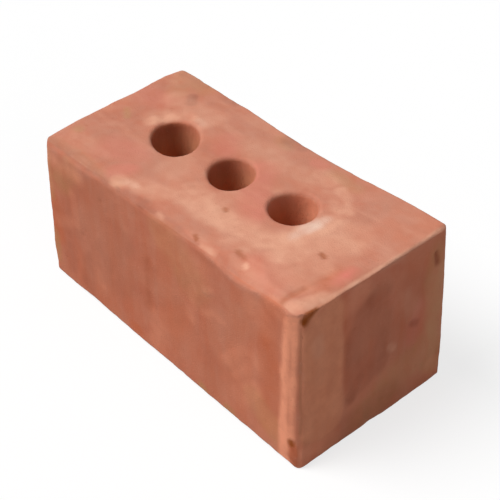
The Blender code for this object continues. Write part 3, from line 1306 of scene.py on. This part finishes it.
class ClayEffects:
    """The node groups that both clay finishes use.

    Attributes:
        CLOUD_EDGES: The noise where a cloud starts, and where it is whole.
        FLECK_EDGES: The noise where a fleck starts, and where it is whole.
        FLECK_FINER: How many times finer the flecks are than the clouds.
        STREAK_EDGES: The noise where a streak starts, and where it is whole.
        LINE_EDGES: The noise where a thin line starts, and where it is whole.
        LINE_FINER: How many times finer the lines are than the streaks.
        GRAIN_EDGES: How far from its middle a grain ends, and where it is whole.
        GRAIN_PICK: The draw where a cell starts to hold a grain, and where it does.
        PORE_PICK: The draw where a cell starts to hold a pore, and where it does.
        TOOTH_FINER: How many times finer the clay's tooth is than its grains.
        GRAIN_RISE: How far a pale grain stands out.
        PORE_SINK: How far a pore lies in.
    """

    CLOUD_EDGES: ClassVar[Point] = (0.32, 0.68)
    FLECK_EDGES: ClassVar[Point] = (0.30, 0.70)
    FLECK_FINER: ClassVar[float] = 5.5
    STREAK_EDGES: ClassVar[Point] = (0.36, 0.66)
    LINE_EDGES: ClassVar[Point] = (0.36, 0.64)
    LINE_FINER: ClassVar[float] = 3.1
    GRAIN_EDGES: ClassVar[Point] = (0.34, 0.16)
    GRAIN_PICK: ClassVar[Point] = (0.80, 0.90)
    PORE_PICK: ClassVar[Point] = (0.84, 0.92)
    TOOTH_FINER: ClassVar[float] = 1.7
    GRAIN_RISE: ClassVar[float] = 0.35
    PORE_SINK: ClassVar[float] = 0.4

    def __init__(self) -> None:
        """Builds each group once."""
        self.mottle = self.make_mottle()
        self.drag = self.make_drag()
        self.grit = self.make_grit()
        self.ragged = self.make_ragged()

    @staticmethod
    def group(name: str, inputs: dict[str, str], outputs: tuple[str, ...]) -> NodeBench:
        """Starts a node group.

        Args:
            name: The group's name.
            inputs: The kind of each input, by its name.
            outputs: The name of each value that it puts out.

        Returns:
            A bench on the group's tree.
        """
        tree = bpy.data.node_groups.new(name, "ShaderNodeTree")
        for label, kind in inputs.items():
            tree.interface.new_socket(label, in_out="INPUT", socket_type=f"NodeSocket{kind}")
        for label in outputs:
            tree.interface.new_socket(label, in_out="OUTPUT", socket_type="NodeSocketFloat")
        return NodeBench(tree)

    @staticmethod
    def ends(bench: NodeBench) -> tuple[bpy.types.NodeOutputs, bpy.types.NodeInputs]:
        """Adds a group's two ends.

        Args:
            bench: The bench on the group's tree.

        Returns:
            What comes in, and what goes out.
        """
        coming = bench.tree.nodes.new("NodeGroupInput")
        going = bench.tree.nodes.new("NodeGroupOutput")
        return coming.outputs, going.inputs

    def make_mottle(self) -> bpy.types.NodeTree:
        """Clouds of uneven firing, at two sizes.

        Returns:
            The group's tree.
        """
        bench = self.group("clay mottle", {"Vector": "Vector", "Scale": "Float"}, ("Cloud", "Fleck"))
        coming, going = self.ends(bench)
        broad = bench.noise(coming["Vector"], coming["Scale"], detail=3.0, distortion=0.6)
        finer = bench.math("MULTIPLY", coming["Scale"], self.FLECK_FINER)
        fleck = bench.noise(coming["Vector"], finer, detail=4.0, distortion=0.3)
        bench.feed(going["Cloud"], bench.remap(broad, *self.CLOUD_EDGES))
        bench.feed(going["Fleck"], bench.remap(fleck, *self.FLECK_EDGES))
        return bench.tree

    def make_drag(self) -> bpy.types.NodeTree:
        """Streaks that clay leaves as it slides along a mould or a die.

        Returns:
            The group's tree.
        """
        inputs = {"Vector": "Vector", "Stretch": "Vector", "Scale": "Float"}
        bench = self.group("drag streaks", inputs, ("Streak", "Line"))
        coming, going = self.ends(bench)
        drawn = bench.add("VectorMath", operation="MULTIPLY")
        bench.feed(drawn.inputs[0], coming["Vector"])
        bench.feed(drawn.inputs[1], coming["Stretch"])
        wide = bench.noise(drawn.outputs[0], coming["Scale"], detail=2.0, distortion=0.4)
        finer = bench.math("MULTIPLY", coming["Scale"], self.LINE_FINER)
        thin = bench.noise(drawn.outputs[0], finer, detail=2.0)
        bench.feed(going["Streak"], bench.remap(wide, *self.STREAK_EDGES))
        bench.feed(going["Line"], bench.remap(thin, *self.LINE_EDGES))
        return bench.tree

    def make_grit(self) -> bpy.types.NodeTree:
        """Sand grains, pores and crumbs in the clay.

        Returns:
            The group's tree.
        """
        outputs = ("Dark Grain", "Pale Grain", "Pore", "Height")
        bench = self.group("grit", {"Vector": "Vector", "Scale": "Float"}, outputs)
        coming, going = self.ends(bench)
        cells = bench.add("TexVoronoi", feature="F1")
        bench.feed(cells.inputs["Vector"], coming["Vector"])
        bench.feed(cells.inputs["Scale"], coming["Scale"])
        draws = bench.add("SeparateColor")
        bench.feed(draws.inputs[0], cells.outputs["Color"])
        inside = bench.remap(cells.outputs["Distance"], *self.GRAIN_EDGES)
        picks = (self.GRAIN_PICK, self.GRAIN_PICK, self.PORE_PICK)
        picked = [bench.remap(draw, *pick) for draw, pick in zip(draws.outputs, picks)]
        dark, pale, pore = (bench.math("MULTIPLY", inside, chosen) for chosen in picked)
        tooth_scale = bench.math("MULTIPLY", coming["Scale"], self.TOOTH_FINER)
        tooth = bench.noise(coming["Vector"], tooth_scale, detail=4.0)
        raised = bench.math("ADD", tooth, bench.math("MULTIPLY", pale, self.GRAIN_RISE))
        height = bench.math("SUBTRACT", raised, bench.math("MULTIPLY", pore, self.PORE_SINK))
        for name, value in zip(outputs, (dark, pale, pore, height)):
            bench.feed(going[name], value)
        return bench.tree

    def make_ragged(self) -> bpy.types.NodeTree:
        """Breaks a soft mask up along the clay's own clouds.

        Returns:
            The group's tree.
        """
        bench = self.group("ragged edge", {"Mask": "Float", "Cloud": "Float", "Bite": "Float"}, ("Mask",))
        coming, going = self.ends(bench)
        off = bench.math("MULTIPLY", bench.math("SUBTRACT", coming["Cloud"], 0.5), coming["Bite"])
        kept = bench.math("MULTIPLY", coming["Mask"], bench.math("ADD", off, 1.0))
        bench.feed(going["Mask"], bench.math("MINIMUM", kept, 1.0))
        return bench.tree


@dataclass(frozen=True)
class ClayFinish:
    """How a stretch of the clay is coloured, how rough it is and how its grain stands out.

    Attributes:
        name: The material's name.
        body: The clay where nothing else shows.
        warm: The clay where it fired redder.
        bare: Bright clay where the skin wore off, and painted light on the front's band, left arris and lit
            core walls.
        bloom: The pale scum of salts, also painted highlights along the lip's edge and on crumbs.
        lime: The nearly white crust.
        pink: The rosier clay.
        rust: Orange clay of arrises and drags; painted light at a left arris, painted shade in a crease.
        ochre: The yellow tint, also in painted shade along the right end's front arris.
        scorch: The brown of a kiln mark, also painted shade on arrises and a painted shadow under a crumb.
        dirt: The bare, dark clay in chips and pits, and partly painted shade in the chip under the lip and
            the crease.
        dust: The pale dust of handling.
        deep: The colour of the painted shade in a core.
        mottle_scale: How many clouds there are to a metre.
        drag_stretch: How the drag streaks are drawn out along each axis.
        drag_scale: How many streaks there are to a metre.
        grit_scale: How many grains there are to a metre.
        dull: The roughness where the clay is smoothest.
        dry: The roughness where it is driest.
        sheen: How much of a shine the clay has.
        relief: How strongly the grain stands out.
        grain_height: How tall the grain is, in metres.
        fleck_bloom: How much bloom shows in the flecks.
        streak_rust: How much orange shows in the drag streaks.
        line_dust: How much dust lies in the drag lines.
        line_relief: How far those lines stand out, beside the grain.
        dark_grains: How strongly the dark grains show.
        pale_grains: How strongly the pale grains show.
        pores: How strongly the pores show.
    """

    name: str
    body: Colour = from_screen(206, 129, 101)
    warm: Colour = from_screen(200, 116, 88)
    bare: Colour = from_screen(243, 158, 124)
    bloom: Colour = from_screen(234, 175, 146)
    lime: Colour = from_screen(238, 208, 190)
    pink: Colour = from_screen(219, 129, 112)
    rust: Colour = from_screen(203, 108, 72)
    ochre: Colour = from_screen(192, 137, 92)
    scorch: Colour = from_screen(152, 84, 62)
    dirt: Colour = from_screen(146, 70, 18)
    dust: Colour = from_screen(205, 154, 134)
    deep: Colour = from_screen(130, 66, 40)
    mottle_scale: float = 34.0
    drag_stretch: Triple = (1.0, 1.0, 0.22)
    drag_scale: float = 62.0
    grit_scale: float = 900.0
    dull: float = 0.80
    dry: float = 0.96
    sheen: float = 0.10
    relief: float = 0.35
    grain_height: float = 0.0005
    fleck_bloom: float = 0.08
    streak_rust: float = 0.32
    line_dust: float = 0.08
    line_relief: float = 0.25
    dark_grains: float = 0.10
    pale_grains: float = 0.12
    pores: float = 0.12

    def material(self, effects: ClayEffects) -> bpy.types.Material:
        """Builds the finish.

        Args:
            effects: The node groups to place in it.

        Returns:
            The material.
        """
        made = bpy.data.materials.new(self.name)
        made.use_nodes = True
        bench = NodeBench(made.node_tree)
        shader = made.node_tree.nodes["Principled BSDF"]
        where = bench.add("TexCoord").outputs["Object"]
        mottle = bench.placed(effects.mottle, Vector=where, Scale=self.mottle_scale)
        drag = bench.placed(effects.drag, Vector=where, Stretch=self.drag_stretch, Scale=self.drag_scale)
        grit = bench.placed(effects.grit, Vector=where, Scale=self.grit_scale)
        dragged = bench.mask(Mask.DRAG)
        streaks, lines = (bench.math("MULTIPLY", output, dragged) for output in drag.outputs)
        fleck = mottle.outputs["Fleck"]
        colour = bench.tint(mottle.outputs["Cloud"], self.warm, self.body)
        colour = bench.wash(colour, self.bloom, fleck, self.fleck_bloom)
        colour = bench.wash(colour, self.rust, streaks, self.streak_rust)
        colour = bench.wash(colour, self.dust, lines, self.line_dust)
        for mask, tone, bite in self.layers():
            share = bench.placed(effects.ragged, Mask=bench.mask(mask), Cloud=fleck, Bite=bite)
            colour = bench.tint(share.outputs["Mask"], colour, tone)
        colour = bench.wash(colour, self.dirt, grit.outputs["Dark Grain"], self.dark_grains)
        colour = bench.wash(colour, self.bloom, grit.outputs["Pale Grain"], self.pale_grains)
        colour = bench.wash(colour, self.dirt, grit.outputs["Pore"], self.pores)
        bench.feed(shader.inputs["Base Color"], colour)
        bench.feed(shader.inputs["Roughness"], bench.remap(fleck, 0.0, 1.0, self.dull, self.dry))
        shader.inputs["Specular IOR Level"].default_value = self.sheen
        bump = bench.add("Bump")
        bump.inputs["Strength"].default_value = self.relief
        bump.inputs["Distance"].default_value = self.grain_height
        drawn = bench.math("MULTIPLY", lines, self.line_relief)
        bench.feed(bump.inputs["Height"], bench.math("ADD", grit.outputs["Height"], drawn))
        bench.feed(shader.inputs["Normal"], bump.outputs["Normal"])
        return made

    def layers(self) -> tuple[tuple[Mask, Colour, float], ...]:
        """Puts the marks in order.

        Returns:
            The marks from the lowest up, with the tone of each and how far the flecks bite into it.
        """
        return (
            (Mask.RUST, self.rust, 0.4),
            (Mask.OCHRE, self.ochre, 0.4),
            (Mask.SCORCH, self.scorch, 0.3),
            (Mask.DUST, self.dust, 0.5),
            (Mask.PINK, self.pink, 0.3),
            (Mask.BARE, self.bare, 0.4),
            (Mask.BLOOM, self.bloom, 0.25),
            (Mask.LIME, self.lime, 0.2),
            (Mask.DIRT, self.dirt, 0.3),
            (Mask.DEPTH, self.deep, 0.2),
        )


@dataclass(frozen=True)
class PitScatter:
    """Small pits scattered over every face, the same each time.

    Attributes:
        per_face: How many each face has.
        seed: What they are drawn from.
        margin: How far they keep from the arrises.
        radius: Half the width of the smallest, and of the largest.
        depth: How deep they are at least and at most, beside that.
        ragged: How far their outlines wander.
        dirt: How much darker clay shows in them, at least and at most.
    """

    per_face: int = 9
    seed: int = 11
    margin: float = 6.0
    radius: Point = (0.8, 1.4)
    depth: Point = (0.25, 0.50)
    ragged: float = 0.3
    dirt: Point = (0.03, 0.18)

    def dents(self, low: np.ndarray, high: np.ndarray) -> list[Dent]:
        """Draws the pits.

        Args:
            low: The block's lowest corner.
            high: The block's highest corner.

        Returns:
            One dent for each pit.
        """
        draw = np.random.default_rng(self.seed)
        pits = []
        for side in Side:
            nearest = low[side.plane] + self.margin
            farthest = high[side.plane] - self.margin
            for _ in range(self.per_face):
                place = tuple(draw.uniform(nearest, farthest))
                radius = draw.uniform(*self.radius)
                depth = radius * draw.uniform(*self.depth)
                pits.append(Dent(side, (place,), radius, depth, self.ragged, draw.uniform(*self.dirt)))
        return pits


@dataclass(frozen=True)
class ClayWork:
    """How uneven the clay is all over, and the wear, dust and drags that lie on it everywhere.

    Attributes:
        swells: The unevenness of every face, from the largest waves down.
        mould_lines: The upright lines that the mould drew on the sides.
        bites: Where the arrises are nibbled.
        bite_start: How strong that noise is where a bite starts.
        bite_depth: How deep the bites are.
        crumbs: Where the arrises crumble.
        crumb_depth: How deep the crumbs are.
        dent_edge: What makes the outlines of dents wander.
        dirt_spread: How evenly dirt fills a dent, as a power. Less is more even.
        slope_grain: How much of the dents' noise roughens a broken slope.
        slope_swell: The larger unevenness of a broken slope.
        slope_shows: How far a slope cuts in where broken clay starts to show, and where it is whole.
        arris_dust: How much dust clings to an arris.
        bite_dust: How much more of it clings where the arris is bitten.
        bite_full: How deep the bite is that holds all of that.
        crumb_dust: How much the crumbs count as bites for the dust.
        bed_dust: How much dust lies on the upper bed.
        bed_turn: How squarely a point looks up where that dust starts, and where it is whole.
        bed_patches: Where it lies thicker or thinner.
        wire_lines: The lines that the wire drew along the upper bed.
        wire_full: How strong that noise is where a line is whole.
        wire_bloom: How much bloom the lines hold.
        wire_scorch: How much browner the clay between them is.
        stain_edge: What makes the outlines of stains wander.
        stain_patches: Where stains lie thicker or thinner.
        stain_limits: How thin they lie at least, and how thick at most.
    """

    swells: tuple[Waves, ...] = (
        Waves(0.30, 48.0),
        Waves(0.14, 15.0, 2, field=1),
        Waves(0.07, 4.5, 2, field=2),
    )
    mould_lines: Waves = Waves(0.10, 7.0, 2, stretch=(1.0, 1.0, 9.0), field=3)
    bites: Waves = Waves(1.0, 11.0, 3, field=4)
    bite_start: float = 0.12
    bite_depth: float = 0.35
    crumbs: Waves = Waves(1.0, 3.2, 2, field=5)
    crumb_depth: float = 0.06
    dent_edge: Waves = Waves(1.0, 3.6, 2, field=6)
    dirt_spread: float = 0.7
    slope_grain: float = 0.18
    slope_swell: Waves = Waves(0.35, 21.0, field=8)
    slope_shows: Point = (0.1, 0.8)
    arris_dust: float = 0.08
    bite_dust: float = 0.2
    bite_full: float = 0.4
    crumb_dust: float = 0.2
    bed_dust: float = 0.29
    bed_turn: Point = (0.05, 0.45)
    bed_patches: Waves = Waves(0.5, 30.0, 2, field=9)
    wire_lines: Waves = Waves(1.0, 6.0, 3, stretch=(5.0, 1.0, 1.0), field=10)
    wire_full: float = 0.7
    wire_bloom: float = 0.16
    wire_scorch: float = 0.14
    stain_edge: Waves = Waves(1.0, 14.0, 2, field=7)
    stain_patches: Waves = Waves(0.45, 8.0, 3, stretch=(1.0, 1.0, 2.5), field=11)
    stain_limits: Point = (0.4, 1.5)


@dataclass
class BrickBody:
    """The brick itself, one piece of fired clay.

    Attributes:
        low: The solid's lowest corner.
        high: The solid's highest corner.
        core_places: Where the cores' axes are, along and across.
        slump: How it left its true shape.
        work: How uneven and worn it is all over.
        pits: The small pits that it has beyond the named ones.
    """

    low: np.ndarray
    high: np.ndarray
    core_places: list[Point]
    slump: Slump = Slump()
    work: ClayWork = ClayWork()
    pits: PitScatter = PitScatter()

    def cores(self) -> tuple[Core, ...]:
        """Gives each hole its own small faults, and its painted shade and light.

        Returns:
            The three holes.
        """
        faults = (
            {"radii": (12.0, 15.4), "turn": 58.0, "shift": (-0.4, -0.6), "painted_shade": 0.63, "painted_light": 0.36},
            {"radii": (11.4, 13.0), "turn": 45.0, "shift": (0.8, -0.4), "painted_shade": 0.60, "painted_light": 0.44},
            {"radii": (11.6, 12.3), "turn": 50.0, "shift": (-0.3, 1.9), "painted_shade": 0.32, "painted_light": 0.74},
        )
        return tuple(Core(*place, **fault) for place, fault in zip(self.core_places, faults))

    def build(self) -> bpy.types.Object:
        """Makes the mesh, shapes it and marks it.

        Returns:
            The brick, in metres, with a mask attribute for each kind of mark.
        """
        mesh = BlockLayout(self.low, self.high, self.cores()).mesh("cored_brick")
        points = np.zeros(len(mesh.vertices) * 3, np.float32)
        normals = np.zeros(len(mesh.vertices) * 3, np.float32)
        mesh.vertices.foreach_get("co", points)
        mesh.vertex_normals.foreach_get("vector", normals)
        points, normals = (values.reshape(-1, 3).astype(float) for values in (points, normals))
        dried = self.slump.applied(points, self.low, self.high)
        surface = Surface(points, normals, dried, np.stack([self.low, self.high]))
        marks = Marks(len(points))
        shaped = self.shaped(surface, marks)
        self.stain(surface, marks)
        dried = self.slump.applied(shaped, self.low, self.high)
        dried[:, 2] = np.maximum(dried[:, 2], self.low[2])
        mesh.vertices.foreach_set("co", (dried * MM).astype(np.float32).ravel())
        mesh.update()
        marks.write(mesh)
        brick = bpy.data.objects.new("cored_brick", mesh)
        bpy.context.scene.collection.objects.link(brick)
        return brick

    def shaped(self, surface: Surface, marks: Marks) -> np.ndarray:
        """Works the surface: uneven firing, drags, dents and worn arrises.

        Args:
            surface: The true block.
            marks: The marks to add to.

        Returns:
            The shaped points.
        """
        work = self.work
        upright = np.clip(sum(surface.share_of(side) for side in (FRONT, BACK, RIGHT, LEFT)), 0.0, 1.0)
        marks.lay(Mask.DRAG, upright)
        arris = surface.arris_share()
        bites = np.clip(work.bites.over(surface) - work.bite_start, 0.0, 1.0)
        crumbs = work.crumbs.over(surface)
        sink = arris * (work.bite_depth * bites + work.crumb_depth * crumbs)
        bitten = smooth(0.0, work.bite_full, bites + work.crumb_dust * crumbs)
        marks.lay(Mask.DUST, arris * (work.arris_dust + work.bite_dust * bitten))
        wander = work.dent_edge.over(surface)
        for dent in (*DENTS, *self.pits.dents(self.low, self.high)):
            share = dent.shape(surface, wander)
            sink += dent.depth * share
            marks.lay(Mask.DIRT, dent.dirt * share**work.dirt_spread)
        uneven = sum(swell.over(surface) for swell in work.swells)
        drags = work.mould_lines.over(surface) * upright
        points = surface.points + surface.normals * (uneven + drags - sink)[:, None]
        rough = work.slope_grain * wander + work.slope_swell.over(surface)
        for cut in BREAKS:
            excess = cut.excess(surface, points, rough)
            points -= excess[:, None] * cut.outward()
            marks.lay(Mask.RUST, cut.bare * smooth(*work.slope_shows, excess))
        return points

    def stain(self, surface: Surface, marks: Marks) -> None:
        """Lays dust and the wire's lines on the upper bed, every stain, and painted shade and light in the
        cores.

        Args:
            surface: The true block.
            marks: The marks to add to.
        """
        work = self.work
        settled = work.bed_dust * surface.share_of(UPPER, work.bed_turn)
        marks.lay(Mask.DUST, settled * (1.0 + work.bed_patches.over(surface)))
        bed = surface.share_of(UPPER)
        lines = work.wire_lines.over(surface)
        marks.lay(Mask.BLOOM, work.wire_bloom * bed * smooth(0.0, work.wire_full, lines))
        marks.lay(Mask.SCORCH, work.wire_scorch * bed * smooth(0.0, -work.wire_full, lines))
        wander = work.stain_edge.over(surface)
        patchy = np.clip(1.0 + work.stain_patches.over(surface), *work.stain_limits)
        for (side, mask), stains in STAINS.items():
            face = surface.share_of(side)
            for stain in stains:
                marks.lay(mask, stain.share(surface, side, wander, patchy) * face)
        height = surface.points[:, 2]
        below = np.minimum(self.high[2] - height, height - self.low[2])
        for core in self.cores():
            for mask, share in core.marks(surface.points, below).items():
                marks.lay(mask, share)

    def dress(self, brick: bpy.types.Object, effects: ClayEffects) -> None:
        """Gives the brick its finishes and says what it stands for.

        Args:
            brick: The brick.
            effects: The node groups that its finishes use.
        """
        skin = ClayFinish("fired_clay_skin")
        core_wall = ClayFinish("fired_clay_core_wall", drag_scale=160.0, relief=0.5)
        for finish in (skin, core_wall):
            brick.data.materials.append(finish.material(effects))
        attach(brick, BODY)
        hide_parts(NODE)


@dataclass(frozen=True)
class Studio:
    """A pale floor, a soft key lamp, a weak fill from the other side and an even surround.

    Attributes:
        floor_reach: How far the floor runs from the brick, in metres.
        floor_gap: How far it lies below the brick's lower bed, so that the two don't share a plane.
        floor_tone: How much light the floor sends back to the brick.
        shown_white: How much of the floor shows as plain white, whatever falls on it.
        toward_key: The way to the key lamp from the brick.
        key_level: How strong the key is.
        key_spread: How wide the key looks from the brick, in degrees.
        toward_fill: The way to the fill lamp from the brick.
        fill_level: How strong the fill is.
        fill_spread: How wide the fill looks from the brick, in degrees.
        surround_level: How strong the even surround is.
    """

    floor_reach: float = 4.0
    floor_gap: float = 0.1
    floor_tone: float = 0.35
    shown_white: float = 0.75
    toward_key: Triple = (-0.35, -0.44, 0.83)
    key_level: float = 2.92
    key_spread: float = 36.0
    toward_fill: Triple = (0.97, -0.10, 0.22)
    fill_level: float = 0.52
    fill_spread: float = 50.0
    surround_level: float = 0.19

    @staticmethod
    def seen(bench: NodeBench) -> bpy.types.NodeSocket:
        """Tells what the camera sees, straight or mirrored, from light on its way to the brick.

        Args:
            bench: The bench on the material's or the world's tree.

        Returns:
            A socket that is 1 for what the camera sees, and 0 for the rest.
        """
        path = bench.add("LightPath")
        mirrored = bench.math("MAXIMUM", path.outputs["Is Glossy Ray"], path.outputs["Is Transmission Ray"])
        return bench.math("MAXIMUM", path.outputs["Is Camera Ray"], mirrored)

    def floor(self) -> bpy.types.Object:
        """Lays the floor, which keeps the brick's shadow.

        Returns:
            The floor.
        """
        shape = bmesh.new()
        bmesh.ops.create_grid(shape, x_segments=1, y_segments=1, size=self.floor_reach)
        mesh = bpy.data.meshes.new("studio_floor")
        shape.to_mesh(mesh)
        shape.free()
        floor = bpy.data.objects.new("studio_floor", mesh)
        floor.location.z = -self.floor_gap * MM
        bpy.context.scene.collection.objects.link(floor)
        paper = bpy.data.materials.new("pale_paper")
        paper.use_nodes = True
        paper.node_tree.nodes.clear()
        bench = NodeBench(paper.node_tree)
        seen = self.seen(bench)
        matt = bench.add("BsdfDiffuse")
        grey = (self.floor_tone,) * 3
        bench.feed(matt.inputs["Color"], bench.tint(seen, grey, WHITE))
        white = bench.add("Emission")
        mix = bench.add("MixShader")
        bench.feed(mix.inputs[0], bench.math("MULTIPLY", seen, self.shown_white))
        bench.feed(mix.inputs[1], matt.outputs[0])
        bench.feed(mix.inputs[2], white.outputs[0])
        bench.feed(bench.add("OutputMaterial").inputs["Surface"], mix.outputs[0])
        mesh.materials.append(paper)
        return floor

    @staticmethod
    def lamp(name: str, toward: Triple, level: float, spread: float) -> bpy.types.Object:
        """Hangs one lamp, far away.

        Args:
            name: The lamp's name.
            toward: The way to the lamp from the brick.
            level: How strong it is.
            spread: How wide it looks from the brick, in degrees.

        Returns:
            The lamp.
        """
        light = bpy.data.lights.new(name, "SUN")
        light.energy = level
        light.angle = math.radians(spread)
        lamp = bpy.data.objects.new(name, light)
        lamp.rotation_mode = "QUATERNION"
        lamp.rotation_quaternion = Vector(toward).to_track_quat("Z", "Y")
        bpy.context.scene.collection.objects.link(lamp)
        return lamp

    def surround(self) -> bpy.types.World:
        """Fills the room with even light, which the camera sees as white.

        Returns:
            The world.
        """
        world = bpy.data.worlds.new("even_surround")
        bpy.context.scene.world = world
        world.use_nodes = True
        bench = NodeBench(world.node_tree)
        level = bench.add("MapRange")
        bench.feed(level.inputs["Value"], self.seen(bench))
        level.inputs["To Min"].default_value = self.surround_level
        back = world.node_tree.nodes["Background"]
        back.inputs["Color"].default_value = (*WHITE, 1.0)
        bench.feed(back.inputs["Strength"], level.outputs["Result"])
        return world

    def set_up(self) -> None:
        """Lays the floor, hangs the lamps and sets the plain view."""
        self.floor()
        self.lamp("soft_key", self.toward_key, self.key_level, self.key_spread)
        self.lamp("soft_fill", self.toward_fill, self.fill_level, self.fill_spread)
        self.surround()
        bpy.context.scene.view_settings.view_transform = "Standard"


@dataclass(frozen=True)
class PhotoCamera:
    """The camera, where the photograph was taken from.

    Attributes:
        azimuth: How far round from the front it stands, in degrees.
        elevation: How high it stands, in degrees.
        roll: How far it is turned about its own axis, in degrees.
        distance: How far it is from the middle of the lower bed, along its axis.
        aside: How far its axis passes to the right of that point, and above it.
        focal_px: Its focal length, in pixels of the photograph.
        side_px: The photograph's width and height, in pixels.
    """

    azimuth: float = 49.74
    elevation: float = 38.47
    roll: float = -1.23
    distance: float = 609.5
    aside: Point = (6.54, 33.89)
    focal_px: float = 1212.0
    side_px: float = 500.0

    def place(self) -> bpy.types.Object:
        """Sets up the camera.

        Returns:
            The camera.
        """
        round_by, up_by, turned = (math.radians(a) for a in (self.azimuth, self.elevation, self.roll))
        flat = math.cos(up_by)
        back = Vector((math.sin(round_by) * flat, -math.cos(round_by) * flat, math.sin(up_by)))
        level = Vector((0.0, 0.0, 1.0)).cross(back).normalized()
        upward = back.cross(level)
        right = level * math.cos(turned) + upward * math.sin(turned)
        top = upward * math.cos(turned) - level * math.sin(turned)
        lens = bpy.data.cameras.new("photo_camera")
        lens.lens = self.focal_px * lens.sensor_width / self.side_px
        camera = bpy.data.objects.new("photo_camera", lens)
        turn = Matrix((right, top, back)).transposed().to_4x4()
        spot = right * self.aside[0] + top * self.aside[1] + back * self.distance
        camera.matrix_world = Matrix.Translation(spot * MM) @ turn
        bpy.context.scene.collection.objects.link(camera)
        bpy.context.scene.camera = camera
        return camera


def core_places(record: dict[str, Any]) -> list[Point]:
    """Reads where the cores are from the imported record.

    Args:
        record: The record.

    Returns:
        Where each core's axis is, along the brick and across it.
    """
    boxes = [np.array(opening["box_m"]) for opening in record["physics"]["openings"]]
    return [tuple(box.mean(axis=0)[:2] / MM) for box in boxes]


def main() -> None:
    """Builds the brick, the studio and the camera."""
    logging.basicConfig(level=logging.INFO, format="%(message)s")
    low, high = (np.array(corner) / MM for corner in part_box(NODE))
    body = BrickBody(low, high, core_places(frame["record"]))
    brick = body.build()
    body.dress(brick, ClayEffects())
    log.info("%s: %d faces, rides on %s", brick.name, len(brick.data.polygons), BODY)
    Studio().set_up()
    log.info("studio: floor, key, fill and surround")
    camera = PhotoCamera().place()
    log.info("%s: lens %.1f mm", camera.name, camera.data.lens)


if __name__ == "__main__":
    main()
